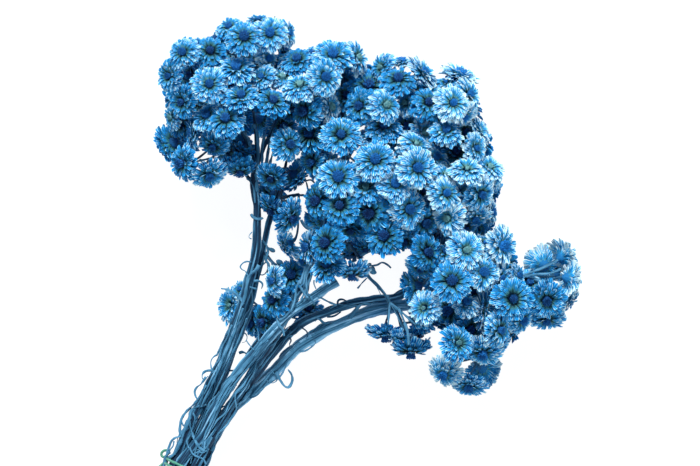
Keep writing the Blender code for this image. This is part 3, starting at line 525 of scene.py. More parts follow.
# How far one bract differs from the next, how torn its tip is, and how many places its streaks
# are taken from.
LENGTH_VARIES, RISE_VARIES, TIP_VARIES, WIDTH_VARIES = 0.12, 10, 18, 0.18
TWIST_VARIES, TIP_TWIST_VARIES, FOLD_VARIES = 0.30, 0.40, 0.5
TURN_VARIES, BEND_VARIES, TONE_VARIES = 0.22, 0.10, 0.18
FRAYED_TIP, FRAYED_NEXT = 0.11, 0.05
WORN_SHORT = 0.65
PLEATS_LONGER = 0.03
OWN_STREAKS = 300
# The button: a low dome, ring by ring, and how its size varies.
BUTTON_SIDES = 10
BUTTON_REACH = 0.265
BUTTON_SIZE, BUTTON_VARIES, GREEN_SMALLER = 0.82, 0.18, 0.30
BUTTON_RISE = np.array((-0.04, 0.20, 0.28, 0.22))
BUTTON_OUT = np.array((0.27, 0.27, 0.18, 0.0))
# Its tube flowers: how many, the turn from one to the next, how high they stand on the dome,
# and their own height, more where they are open, in a ring near the rim.
FLORETS, DEEP_FLORETS = 31, 17
GOLDEN_TURN = 2.39996
DOME_HIGH, DOME_FALLS = 0.29, 1.8
FLOWER_TALL, TALL_VARIES = 0.05, 0.04
OPEN_TALLER, OPEN_RING, OPEN_BREADTH = 0.12, 0.21, 0.07
FLOWER_LEAN, FLOWER_WIDE = 1.6, 0.19
TUBE_FLOWER = (
    # how high up it, how wide there: its foot, its mouth, and down inside it
    (-0.3, 0.8),
    (1.0, 1.1),
    (0.6, 0.25),
)
# How pale each ring of a tube flower is: the mouth pale, the foot and the inside darker as painted shade.
TUBE_PALE = np.array((0.0, 1.0, 0.1))
# The cup, ring by ring from the pedicel, and where the pedicel's end is in it.
CUP_RIBS, DEEP_CUP_RIBS = 20, 12
RIB_DEPTH = 0.08
CUP_OUT = np.array((0.07, 0.12, 0.20, 0.28, 0.32, 0.28))
CUP_HIGH = np.array((-0.66, -0.58, -0.48, -0.37, -0.24, -0.06))
NECK = 0.62
# A whole head: the first points of a stalk that bear none, how far apart they may join a branch,
# and how their tone and their opening vary: a step of painted light and shade, painted shade on
# the heads behind, darker backs, some chance, and a paler foot where the middle stayed undyed.
BARE_POINTS, JOINT_GAP = 4, 5
LIGHT_AND_SHADE_STEP, DEEP_PAINTED_SHADE, BACK_DARKER = 0.14, 0.12, 0.12
HEAD_TONE_VARIES, OPENNESS_VARIES, HEAD_TURN = 0.08, 9, 6.28
GREEN_FOOT = 0.15
# The upward part of its face below which it is seen edge on, and below which its back shows,
# and the part of it towards the top of the picture below which it hangs.
EDGE_ON, BACK_SHOWS, HANGING = 0.35, -0.2, -0.5
HALF_OPEN, BENT_BACK = 12, -20
# Where each dye is in HEAD_DYES.
BRACT, BUTTON, SCALE, PALE_BUTTON = 0, 1, 2, 3
# The bract's colours from foot to tip: near black at the foot, painted shade where the button and the inner
# rows hide it, then greenish, clear blue and nearly white at the tip. The deeper set serves heads with
# painted shade, the paler set heads with painted light.
DEEP_DYED_SHADED_BRACT = (
    (0.0, (0.003, 0.025, 0.05)), (0.10, (0.008, 0.07, 0.08)), (0.26, (0.06, 0.25, 0.25)),
    (0.42, (0.008, 0.16, 0.38)), (0.60, (0.003, 0.23, 0.64)), (0.76, (0.010, 0.38, 0.82)),
    (0.89, (0.18, 0.67, 0.94)), (1.0, (0.67, 0.93, 1.0)),
)
PALE_DYED_LIT_BRACT = (
    (0.0, (0.004, 0.04, 0.06)), (0.10, (0.02, 0.12, 0.11)), (0.26, (0.26, 0.49, 0.36)),
    (0.42, (0.13, 0.42, 0.50)), (0.60, (0.02, 0.36, 0.72)), (0.76, (0.06, 0.51, 0.90)),
    (0.89, (0.43, 0.82, 0.98)), (1.0, (0.84, 0.97, 1.0)),
)


def either_way(rng, spread, count=None):
    """A number, or count of them, up to spread to either side of nought."""
    return (rng.random(count) * 2 - 1) * spread


def turned_form(out, high, angle):
    """Rings of points round an axis: how far out and how high each is."""
    return np.stack([out * np.cos(angle), out * np.sin(angle), high[:, None] + 0 * angle], axis=-1)


def bracts(pile, layer, deep, tone, openness, paler, rng, turn, place, radius, slot=0):
    """One row of bracts round the head, each with its own curl, twist, length and frayed tip."""
    count, foot_out, foot_up, length, rise, tip_rise, half, pale = layer
    pale = pale + paler
    rows = DEEP_BRACT_ROWS if deep else BRACT_ROWS
    row_widths = DEEP_BRACT_WIDTHS if deep else BRACT_WIDTHS

    def each(spread):
        return either_way(rng, spread, count)

    length = length * (1 + each(LENGTH_VARIES))
    rise = np.radians(rise + openness + each(RISE_VARIES))
    tip_rise = np.radians(tip_rise + openness + each(TIP_VARIES))
    half = half * (1 + each(WIDTH_VARIES))
    steps = np.diff(rows, prepend=0.0)
    slope = rise[:, None] + (tip_rise - rise)[:, None] * rows[None]
    out = foot_out + np.cumsum(np.cos(slope) * steps * length[:, None], axis=1)
    high = foot_up + np.cumsum(np.sin(slope) * steps * length[:, None], axis=1)
    twist = each(TWIST_VARIES)[:, None] + each(TIP_TWIST_VARIES)[:, None] * rows[None]
    widths = half[:, None] * row_widths[None]
    side = widths[..., None] * BRACT_ACROSS
    fold = widths[..., None] * BRACT_FOLD * (1 + each(FOLD_VARIES))[:, None, None]
    across = side * np.cos(twist)[..., None] - fold * np.sin(twist)[..., None]
    proud = side * np.sin(twist)[..., None] + fold * np.cos(twist)[..., None]
    frayed = np.zeros((count, len(rows), len(BRACT_ACROSS)))
    frayed[:, -1] = (rng.random((count, len(BRACT_ACROSS))) - WORN_SHORT) * FRAYED_TIP
    frayed[:, -2] = (rng.random((count, len(BRACT_ACROSS))) - 0.5) * FRAYED_NEXT
    frayed[:, -1, 1::2] += PLEATS_LONGER
    out = out[..., None] - np.sin(slope)[..., None] * proud + frayed
    high = high[..., None] + np.cos(slope)[..., None] * proud
    bend = (np.arange(count) + 0.5 * rng.random() + each(TURN_VARIES)) * 2 * math.pi / count
    bend = bend[:, None, None] + (each(BEND_VARIES)[:, None] * rows[None] ** 2)[..., None]
    local = np.stack([out * np.cos(bend) - across * np.sin(bend),
                      out * np.sin(bend) + across * np.cos(bend), high], axis=-1)
    grain = np.empty(local.shape)
    grain[..., 0] = pale + (1 - pale) * rows[None, :, None]
    grain[..., 1] = BRACT_ACROSS + np.floor(OWN_STREAKS * rng.random(count))[:, None, None]
    # The bract's tone: the head's, with some chance, paler on its edges and rib as a painted highlight and
    # darker in its folds as painted shade, most where it is widest.
    grain[..., 2] = (tone + each(TONE_VARIES))[:, None, None] + PLEAT_HIGHLIGHT_AND_SHADE * row_widths[:, None]
    pile.add(local @ turn.T * radius + place, grain, slot)


def button(pile, count, tone, rng, turn, place, radius, slot):
    """The disc: a low dome packed with tiny five-sided tube flowers, sunk a little in the middle."""
    dome = turned_form(BUTTON_OUT[:, None], BUTTON_RISE, turns_round(BUTTON_SIDES))
    pile.add((dome @ turn.T * radius + place)[None], np.array((0.0, 0.0, tone)), slot, closed=True)
    spread = np.arange(count) + 0.6
    away = BUTTON_REACH * np.sqrt(spread / count)
    round_it = spread * GOLDEN_TURN + rng.random() * 6
    lean = away * FLOWER_LEAN
    tall = FLOWER_TALL + OPEN_TALLER * np.exp(-((away - OPEN_RING) / OPEN_BREADTH) ** 2)
    tall = tall + TALL_VARIES * rng.random(count)
    high = DOME_HIGH - DOME_FALLS * away ** 2
    foot = np.stack([away * np.cos(round_it), away * np.sin(round_it), high], axis=-1)
    up = np.stack([np.sin(lean) * np.cos(round_it), np.sin(lean) * np.sin(round_it), np.cos(lean)], axis=-1)
    side = np.stack([-np.sin(round_it), np.cos(round_it), 0 * lean], axis=-1)
    front = np.cross(side, up)
    five = turns_round(5)
    wide = FLOWER_WIDE / math.sqrt(count)
    flower = []
    for height, width in TUBE_FLOWER:
        ring = np.cos(five)[None, :, None] * side[:, None] + np.sin(five)[None, :, None] * front[:, None]
        flower.append(foot[:, None] + up[:, None] * (tall * height)[:, None, None] + ring * width * wide)
    flower = np.stack(flower, axis=1)
    grain = np.empty(flower.shape)
    # The florets darker towards the sunk middle of the button, painted shade, with some chance.
    pale = (0.15 + 0.85 * (away / BUTTON_REACH) ** 2) * (0.6 + 0.4 * rng.random(count))
    pale = pale * (0.5 + 0.6 * rng.random())
    grain[..., 0] = TUBE_PALE[:, None] * pale[:, None, None]
    grain[..., 1] = away[:, None, None] / BUTTON_REACH
    grain[..., 2] = tone
    pile.add(flower @ turn.T * radius + place, grain, slot, closed=True)


def cup(pile, deep, tone, rng, turn, place, radius, slot):
    """The back of the head: a dark ribbed cone that widens from the pedicel, and the scales round
    it, which are papery like the bracts on a head that shows its back."""
    ribs = DEEP_CUP_RIBS if deep else CUP_RIBS
    rings = np.arange(len(CUP_OUT))[:, None]
    angle = turns_round(ribs)
    rib = 1 + RIB_DEPTH * np.where((np.arange(ribs) + rings // 2) % 2, 1, -1)
    shape = turned_form(CUP_OUT[:, None] * rib, CUP_HIGH, angle)
    grain = np.empty(shape.shape)
    grain[..., 0] = np.linspace(0, 1, len(CUP_OUT))[:, None]
    grain[..., 1] = angle
    grain[..., 2] = tone
    pile.add((shape @ turn.T * radius + place)[None], grain[None], SCALE, closed=True)
    bracts(pile, DEEP_SCALES if deep else SCALES, True, tone, 0, 0, rng, turn, place, radius, slot)


def heads(heads_pile, stalk_pile, front, behind, way, twigs, rng, dye_and_light=0.5):
    """A flower head and its pedicel for each row: its pixel, its height above the table as it
    settled in the source, its width in pixels, which way it leans and how far it is tipped from
    straight up, in degrees, its step of painted light, painted shade where the step is below
    nought, and 1 if its middle stayed undyed. The last two are left out where they are nought.
    Those behind have fewer bracts and take painted shade. Of those seen from the side, the
    hanging ones are old, with their bracts bent back, and the rest are only half open."""
    joints = np.vstack([spots(way[BARE_POINTS:])] + [smooth_path(twig, JOINT_GAP)[1:] for twig in twigs])
    used = np.zeros(len(joints))
    rows = [((*row, 0, 0)[:8], False) for row in front] + [((*row, 0, 0)[:8], True) for row in behind]
    places = spots([row[:3] for row, _ in rows])
    nearer = pixel * (1 - places[:, 2] / camera_place[2])
    radii = np.array([row[3] for row, _ in rows]) * HEAD_SPREAD * nearer / 2
    for number, ((_, _, _, _, lean, tip, light_and_shade, green), deep) in enumerate(rows):
        place, radius = places[number], radii[number]
        lean, tip = math.radians(lean), math.radians(tip)
        face = Vector((math.sin(tip) * math.cos(lean), math.sin(tip) * math.sin(lean), math.cos(tip)))
        turn = Matrix.Rotation(rng.random() * HEAD_TURN, 3, "Z")
        turn = np.array(face.to_track_quat("Z", "Y").to_matrix() @ turn)
        face = np.array(face)
        # The head's tone: its stalk's, a step of painted light and shade, painted shade on the heads
        # behind, and some chance.
        tone = dye_and_light + LIGHT_AND_SHADE_STEP * light_and_shade - (DEEP_PAINTED_SHADE if deep else 0)
        tone = tone + either_way(rng, HEAD_TONE_VARIES)
        openness = either_way(rng, OPENNESS_VARIES)
        if face[2] < EDGE_ON:
            openness += HALF_OPEN if face[1] > HANGING else BENT_BACK
        for layer in DEEP_HEAD_LAYERS if deep else HEAD_LAYERS:
            bracts(heads_pile, layer, deep, tone, openness, GREEN_FOOT * green, rng, turn, place,
                   radius)
        broad = radius * (BUTTON_SIZE + either_way(rng, BUTTON_VARIES) - GREEN_SMALLER * green)
        count = DEEP_FLORETS if deep else FLORETS
        button(heads_pile, count, tone, rng, turn, place, broad, PALE_BUTTON if green else BUTTON)
        if face[2] < BACK_SHOWS:
            cup(heads_pile, deep, tone - BACK_DARKER, rng, turn, place, radius, BRACT)
        else:
            cup(heads_pile, deep, dye_and_light, rng, turn, place, radius, SCALE)
        neck = place - face * NECK * radius
        kin = np.arange(len(rows)) != number
        root, swing = rooted(joints, used, place, neck, face, places[kin], radii[kin])
        pedicel(stalk_pile, neck, face, root, swing, rng)


def bract_material():
    """Dyed paper: greenish foot, near black at its very foot as painted shade, clear blue body, nearly
    white tip, streaked lengthwise. Heads with painted light take the paler colours, heads with
    painted shade the deeper ones.
    """
    finish = Finish("bract_paper")
    grain, (along, _, dye_and_light) = finish.grain()
    streak = finish.noise(1, detail=4, roughness=0.6, over=finish.stretched(grain, (0.9, 3.4, 0)))
    place = finish.scaled(along, 1, finish.scaled(streak, 0.90, -0.92))
    place = finish.scaled(dye_and_light, 0.78, place)
    inputs = {0: finish.between(dye_and_light, 0, 1, 0.38, 0.82),
              6: finish.colours(place, DEEP_DYED_SHADED_BRACT), 7: finish.colours(place, PALE_DYED_LIT_BRACT)}
    mixed = finish.node("Mix", inputs, data_type="RGBA").outputs[2]
    return finish.rough_surface(mixed, gloss=0.18, roughness=finish.between(streak, 0.75, 0.5),
                                relief=streak, strength=0.5, depth=0.0003)


def deep_blue_material(name, low, high, scale):
    """Matt saturated dye with painted shade, darker in the hollows and towards the feet: for the tube
    flowers and the scales behind.
    """
    finish = Finish(name)
    _, (raised, _, dye_and_light) = finish.grain()
    speck = finish.noise(scale, detail=3)
    tone = finish.scaled(dye_and_light, 1, finish.scaled(raised, 0.6, speck))
    tone = finish.between(tone, 0, 1, 0.75, 1.55)
    return finish.rough_surface(finish.colours(tone, ((0, low), (1, high))), gloss=0.3, relief=speck,
                                roughness=finish.between(speck, 0.9, 0.65), strength=0.6, depth=0.0003)


bract_paper = bract_material()
button_dye_and_shade = deep_blue_material("button_dye_and_shade", (0.002, 0.022, 0.11), (0.012, 0.24, 0.68), 1100)
scale_dye_and_shade = deep_blue_material("scale_dye_and_shade", (0.002, 0.035, 0.14), (0.01, 0.19, 0.46), 1500)
pale_button = deep_blue_material("pale_button", (0.02, 0.17, 0.24), (0.30, 0.58, 0.56), 1100)
HEAD_DYES = (bract_paper, button_dye_and_shade, scale_dye_and_shade, pale_button)

BODY_SHARE = 0.92
TWIG_RADIUS = 1.4
bodies = {}


def body_dots(body, twigs):
    """Spots along a stalk and its branches, each with the radius there."""
    rows = [np.c_[body[0], body[1] * BODY_SHARE]]
    for twig in twigs:
        path = smooth_path(twig, 1.5)
        rows.append(np.c_[path, np.full(len(path), TWIG_RADIUS)])
    return np.vstack(rows)


# A stalk's paleness at its foot, middle and top, and along its twigs, is partly wear and partly painted
# light and shade.
def stalk_with_heads(name, seed, own_place, radii, wings, way, branches=(), front=(), behind=(),
                     turns=0.35, wear_and_light=(0, 0, 0), torn=8, torn_span=(0.0, 0.7), twig_radii=(1.5, 1.1),
                     twig_wear_and_light=(0, 0, 0), dye_and_light=0.5):
    """One whole stalk: the stem with its torn strands, its branches, and the heads on them.
    own_place is where it stands in the bundle and the room it takes up there."""
    rng = np.random.default_rng(seed)
    stems, flowers = Pile(), Pile()
    body = stem(stems, whole_way(*own_place, way), *radii, wings, rng, turns, wear_and_light)
    strands(stems, body, torn, rng, *torn_span)
    twigs = [spots(branch) for branch in branches]
    for twig in twigs:
        stem(stems, twig, *twig_radii, 3, rng, wear_and_light=twig_wear_and_light, sides=TWIG_SIDES)
    if front:
        heads(flowers, stems, front, behind, way, twigs, rng, dye_and_light)
    pieces = [(stems.make(name + "_stalk", [stalk_fibre]), "dyed_stalk")]
    if front:
        pieces.append((flowers.make(name + "_flower_heads", HEAD_DYES), "dyed_flower"))
    for piece, finish in pieces:
        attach(piece, "root")
        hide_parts("stalk_" + name)
    bodies[name] = body_dots(body, twigs)


left_way = (
    (184, 439, 15.5), (195, 414, 18), (210, 386, 21), (223, 357, 25), (234, 327, 29), (244, 299, 33),
    (250, 277, 36), (255, 255, 39), (257, 230, 43), (257, 205, 46), (254, 185, 48), (257, 166, 50),
)
left_branches = (
    ((257, 166, 50), (246, 140, 54), (230, 118, 58), (215, 100, 60)),
    ((257, 166, 50), (256, 135, 53), (252, 105, 57), (248, 80, 60), (243, 58, 60)),
    ((257, 166, 50), (268, 138, 50), (279, 112, 52), (285, 88, 54)),
    ((230, 118, 58), (208, 92, 57), (192, 72, 55)),
    ((254, 185, 48), (236, 162, 44), (215, 145, 42), (196, 138, 40)),
    ((257, 166, 50), (246, 140, 38), (232, 118, 30), (222, 108, 24)),
)
left_heads = (
    (244, 37, 86, 32, 90, 27), (183, 52, 79, 29, 150, 27), (210, 51, 76, 29, 90, 21, -1),
    (229, 27, 65, 26, 110, 50), (270, 33, 80, 32, 90, 17, 0.5), (288, 33, 57, 26, 20, 65, 1.3),
    (259, 20, 53, 22, 90, 70), (198, 44, 57, 24, 100, 65), (169, 76, 74, 29, 180, 46),
    (191, 74, 65, 26, 200, 60, -1.5), (209, 84, 89, 32, 60, 14, 0.5), (236, 68, 81, 35, 90, 50, 0.5),
    (241, 96, 88, 33, 90, 46), (182, 102, 76, 31, 190, 50, -1), (171, 117, 64, 24, 190, 60, 0, 1),
    (207, 116, 78, 29, 120, 46), (226, 119, 87, 33, 110, 33, -1), (169, 146, 49, 36, 215, 120, -1),
    (182, 163, 69, 31, 190, 50, -1), (193, 132, 70, 30, 180, 75), (213, 146, 71, 29, 250, 50, -1),
    (209, 175, 70, 33, 290, 50), (240, 172, 60, 30, 270, 70, -1), (239, 149, 51, 30, 230, 110, -1),
    (268, 59, 66, 26, 20, 50, 1.3), (297, 60, 71, 33, 100, 50, -1), (262, 77, 77, 27, 130, 50, 0.5),
    (283, 77, 73, 29, 90, 50, 0.5, 1), (300, 85, 85, 34, 100, 50, 0, 1), (273, 101, 86, 33, 70, 50, -1),
    (284, 50, 42, 22, 45, 72, -1), (305, 111, 81, 33, 190, 46, -1), (289, 144, 76, 32, 0, 40, -1),
)
left_deep_heads = (
    (283, 128, 45, 34, 60, 40), (236, 118, 38, 34, 200, 35), (226, 150, 40, 31, 280, 60),
    (180, 123, 56, 34, 190, 50), (236, 167, 57, 29, 270, 60), (199, 100, 62, 34, 120, 40),
    (263, 98, 60, 31, 60, 40), (287, 63, 59, 29, 60, 60), (218, 40, 63, 29, 110, 60),
    (222, 112, 4, 41, 0, 180), (176, 96, 26, 37, 180, 112), (196, 58, 24, 37, 130, 118),
    (231, 51, 30, 37, 100, 50), (256, 58, 40, 36, 50, 118), (179, 141, 28, 37, 215, 118),
    (220, 136, 19, 36, 240, 135), (236, 160, 22, 36, 270, 130), (262, 118, 16, 37, 0, 150),
    (234, 82, 30, 38, 120, 25), (183, 74, 54, 30, 190, 40), (292, 110, 48, 26, 300, 40),
)
stalk_with_heads("left", 11, (-1.0, 0.0, 3.5), (3.6, 3.0), 5, left_way, left_branches,
                 left_heads, left_deep_heads, wear_and_light=(-0.2, 0.3, -0.2), torn=14,
                 twig_radii=(1.55, 1.15))

# The slim inner stalk, close beside the left one. It grew as one piece, leans a little forward
# and carries the heads inside the bunch and the three low on the left.

inner_way = (
    (193, 436, 7.5), (206, 410, 9.5), (220, 382, 12.5), (232, 354, 15.5), (243, 326, 19.5),
    (251, 300, 24), (257, 275, 27.5), (263, 250, 31.5), (268, 226, 36), (275, 202, 41), (281, 186, 44),
)
inner_branches = (
    ((276, 200, 41), (287, 197, 43), (299, 194, 44)),
    ((263, 250, 31.5), (272, 262, 35), (282, 268, 38)),
    ((251, 300, 24), (246, 308, 20), (241, 312, 18)),
    ((281, 186, 44), (285, 168, 42), (288, 155, 40)),
)
inner_heads = (
    (272, 210, 53, 32, 235, 80, -1), (291, 218, 70, 34, 330, 65, -1), (285, 247, 52, 30, 215, 105),
    (291, 275, 42, 30, 90, 14, -1), (273, 281, 56, 28, 180, 60), (273, 300, 46, 30, 170, 46, -1.5),
    (252, 323, 12, 29, 200, 50, -1), (230, 305, 10, 33, 170, 50, 0.5, 1),
    (271, 178, 64, 29, 240, 50, -1), (298, 178, 51, 32, 320, 115, -1), (240, 289, 18, 20, 150, 50, 1.3),
)
inner_deep_heads = (
    (263, 322, 30, 31, 200, 60), (269, 196, 36, 34, 200, 125), (279, 296, 16, 34, 220, 125),
)
stalk_with_heads("inner", 12, (-0.5, -0.87, 2.5), (2.8, 2.7), 4, inner_way, inner_branches,
                 inner_heads, inner_deep_heads, wear_and_light=(-0.15, 0.3, 0.0))

# The centre stalk: a twisted, fibrous one that carries the middle heads, and a side branch that
# hangs under them with four more.

centre_way = (
    (217, 429, 23), (230, 406, 25.5), (243, 386, 28), (254, 368, 29.5), (267, 350, 31.5),
    (279, 330, 34), (287, 315, 36), (295, 300, 38.5), (304, 285, 41), (312, 267, 44), (320, 252, 46),
    (331, 235, 49), (345, 212, 52), (357, 190, 54),
)
centre_branches = (
    ((320, 252, 46), (322, 225, 54), (326, 205, 60), (331, 190, 64)),
    ((330, 235, 49), (341, 237, 51), (352, 247, 52), (362, 262, 52), (368, 276, 51), (380, 288, 50),
     (389, 302, 49), (388, 316, 49)),
    ((389, 302, 49), (398, 315, 49), (405, 331, 49)),
    ((345, 212, 52), (366, 207, 56), (384, 214, 60)),
    ((357, 190, 54), (362, 174, 60), (366, 162, 64)),
    ((312, 267, 44), (320, 271, 49), (330, 270, 54)),
    ((345, 212, 52), (358, 206, 38), (370, 198, 26)),
)
centre_heads = (
    (375, 160, 92, 37, 80, 21), (338, 177, 90, 37, 90, 14), (366, 188, 84, 31, 100, 46, -1, 1),
    (317, 201, 78, 33, 180, 46, -1.6), (340, 206, 88, 33, 120, 21, -1.7),
    (370, 213, 82, 35, 200, 27, -2), (385, 236, 80, 35, 150, 27, -1.8), (404, 241, 72, 27, 270, 50, -1),
    (326, 243, 87, 35, 165, 37, -1.7), (327, 265, 74, 33, 120, 46, -1), (308, 247, 61, 30, 180, 65),
    (351, 230, 67, 30, 250, 60, -1), (366, 249, 59, 26, 260, 80, -1), (315, 150, 52, 32, 250, 110, -1),
    (352, 275, 62, 34, 270, 75), (303, 260, 47, 22, 220, 60, 0.8), (386, 336, 38, 36, 270, 85, -1),
    (411, 353, 40, 38, 270, 85, -1), (420, 334, 36, 28, 290, 100, -1), (399, 340, 44, 26, 260, 80),
)
centre_deep_heads = (
    (312, 162, 64, 34, 200, 50), (353, 225, 58, 34, 200, 40), (391, 212, 64, 34, 300, 40),
    (354, 190, 64, 34, 120, 30), (372, 196, 4, 41, 0, 180), (330, 170, 22, 36, 180, 125),
    (398, 172, 14, 37, 20, 155), (318, 222, 24, 36, 200, 120), (352, 250, 22, 36, 260, 125),
    (402, 230, 16, 37, 320, 150),
)
stalk_with_heads("centre", 13, (0.5, 0.87, 2.8), (3.3, 2.2), 4, centre_way, centre_branches,
                 centre_heads, centre_deep_heads, turns=1.2, wear_and_light=(-0.2, 0.2, 0.1), torn=12,
                 torn_span=(0.05, 0.75), twig_radii=(1.55, 1.15), twig_wear_and_light=(0.1, 0.4, 0.4))

# The back stalk, behind the others, which rises to the heads along the top. It is one grown
# stem like the rest, dyed with them, and only the tie holds it in the bunch.

top_way = (
    (199, 438, 13.5), (213, 412, 14.5), (229, 385, 15.5), (246, 360, 17), (262, 338, 19),
    (278, 314, 22), (292, 292, 25), (306, 270, 28), (321, 248, 32), (335, 226, 36), (343, 200, 40),
    (344, 165, 44), (342, 130, 47), (342, 95, 50), (343, 75, 52),
)
top_branches = (
    ((344, 165, 44), (356, 145, 51), (370, 125, 56), (384, 110, 58)),
    ((342, 95, 50), (360, 84, 53), (380, 80, 54), (398, 84, 53)),
    ((342, 95, 50), (330, 78, 54), (318, 66, 54)),
    ((342, 130, 47), (334, 122, 54), (326, 112, 56)),
    ((344, 165, 44), (350, 140, 34), (354, 115, 26)),
)
top_heads = (
    (333, 55, 81, 36, 90, 40), (311, 54, 56, 26, 110, 70), (325, 77, 92, 33, 20, 27, 1),
    (358, 57, 67, 32, 20, 65, 1.3, 1), (381, 67, 69, 27, 160, 50, 0, 1), (398, 79, 79, 31, 80, 40, -1),
    (423, 72, 67, 34, 40, 70, 1.3), (402, 62, 54, 24, 90, 75, 1.3), (331, 107, 74, 30, 10, 60, 1.5, 1),
    (360, 106, 78, 32, 170, 33, -1), (386, 105, 88, 32, 30, 40, 1, 1), (384, 126, 78, 33, 90, 50),
    (347, 78, 48, 24, 60, 115, -1), (341, 135, 89, 36, 80, 21), (371, 136, 72, 26, 100, 50),
    (396, 140, 73, 29, 120, 50), (406, 103, 70, 26, 160, 50, 0, 1), (309, 310, 19, 30, 100, 60, -1),
)
top_deep_heads = (
    (310, 134, 69, 36, 150, 40), (322, 122, 62, 34, 120, 40), (369, 86, 66, 36, 90, 40),
    (412, 92, 59, 31, 60, 50), (347, 96, 62, 31, 100, 40), (350, 106, 5, 41, 0, 180),
    (338, 66, 25, 38, 100, 115), (378, 76, 24, 37, 80, 118), (408, 88, 24, 37, 60, 120),
    (318, 92, 21, 36, 150, 125), (384, 118, 15, 37, 0, 160),
)
stalk_with_heads("top", 14, (0.0, 0.0, 2.4), (2.8, 1.8), 4, top_way, top_branches,
                 top_heads, top_deep_heads, wear_and_light=(-0.2, 0.0, -0.1))

# The right stalk, smooth and dark, which bends over to the heads on the right. It is darker at
# its foot, a painted shade, and paler where it bends, where its wings are rubbed pale and take
# painted light.

right_way = (
    (213, 440, 15), (228, 416, 18), (240, 399, 20.5), (249, 385, 21.5), (261, 369, 23), (275, 350, 25),
    (288, 334, 27), (304, 322, 29), (325, 313, 31), (350, 304, 34.5), (375, 300, 38), (400, 296, 41),
    (424, 280, 43), (441, 254, 45), (447, 220, 48), (446, 185, 50), (444, 155, 52),
)
right_branches = (
    ((447, 220, 48), (430, 206, 56), (412, 190, 62)),
    ((446, 185, 50), (463, 182, 54), (478, 180, 55)),
    ((444, 155, 52), (452, 130, 55), (458, 108, 56), (460, 92, 54)),
    ((444, 155, 52), (432, 138, 57), (422, 118, 58)),
    ((441, 254, 45), (432, 248, 54), (438, 234, 60)),
    ((444, 155, 52), (460, 145, 54), (470, 138, 54)),
    ((446, 185, 50), (448, 172, 36), (452, 160, 26)),
)
right_heads = (
    (416, 144, 84, 33, 60, 55, 1, 1), (424, 132, 69, 29, 10, 50, 0.5, 1),
    (429, 103, 80, 33, 80, 33, -1.6), (446, 131, 85, 31, 80, 50), (453, 103, 90, 34, 30, 27, 1.7),
    (460, 75, 57, 36, 70, 74, 1.8), (469, 94, 72, 32, 20, 60, 0.5), (464, 116, 77, 27, 300, 50, 2),
    (446, 82, 64, 22, 100, 60), (479, 130, 65, 30, 30, 70, 1.3, 1), (476, 148, 77, 29, 0, 50, 0.5),
    (417, 168, 95, 37, 20, 21, 1), (395, 184, 90, 33, 60, 27), (409, 209, 86, 35, 350, 27),
    (425, 222, 76, 33, 320, 40, -1), (436, 158, 72, 26, 60, 50, 1.4),
    (446, 175, 81, 27, 60, 50, 0.5, 1), (433, 205, 68, 22, 20, 50), (467, 169, 90, 33, 80, 50, 0.5, 1),
    (490, 167, 71, 29, 60, 50, 1, 1), (494, 177, 60, 28, 0, 70, 1.3), (446, 193, 91, 33, 20, 33, 1.7),
    (463, 191, 74, 27, 0, 50, 1, 1), (481, 194, 84, 33, 330, 46, 1), (491, 212, 66, 24, 0, 70, 1.3),
    (476, 218, 74, 28, 270, 60, 1.3), (448, 218, 84, 33, 200, 40, 1.2, 1),
    (427, 252, 79, 33, 0, 40, -1), (421, 268, 70, 29, 250, 50, -1), (413, 288, 55, 34, 200, 120, -1),
)
right_deep_heads = (
    (407, 128, 61, 36, 80, 40), (424, 189, 64, 34, 0, 40), (466, 133, 60, 34, 20, 50),
    (464, 229, 62, 34, 320, 60), (456, 152, 61, 34, 60, 40), (441, 115, 63, 31, 80, 40),
    (452, 160, 4, 41, 0, 180), (434, 92, 23, 37, 80, 118), (466, 104, 25, 37, 50, 115),
    (481, 142, 26, 35, 10, 115), (490, 186, 23, 37, 350, 118), (420, 142, 14, 37, 150, 155),
    (440, 200, 14, 37, 200, 160), (482, 226, 22, 36, 330, 120), (439, 236, 44, 28, 250, 45),
)
stalk_with_heads("right", 15, (1.0, 0.0, 3.0), (3.4, 2.6), 4, right_way, right_branches,
                 right_heads, right_deep_heads, turns=0.2, wear_and_light=(-0.25, 0.2, 0.5))

# The low stalk: the thickest, with broad wings. It arches out under the bunch to the heads at
# the lower right and the small spray at the far right.

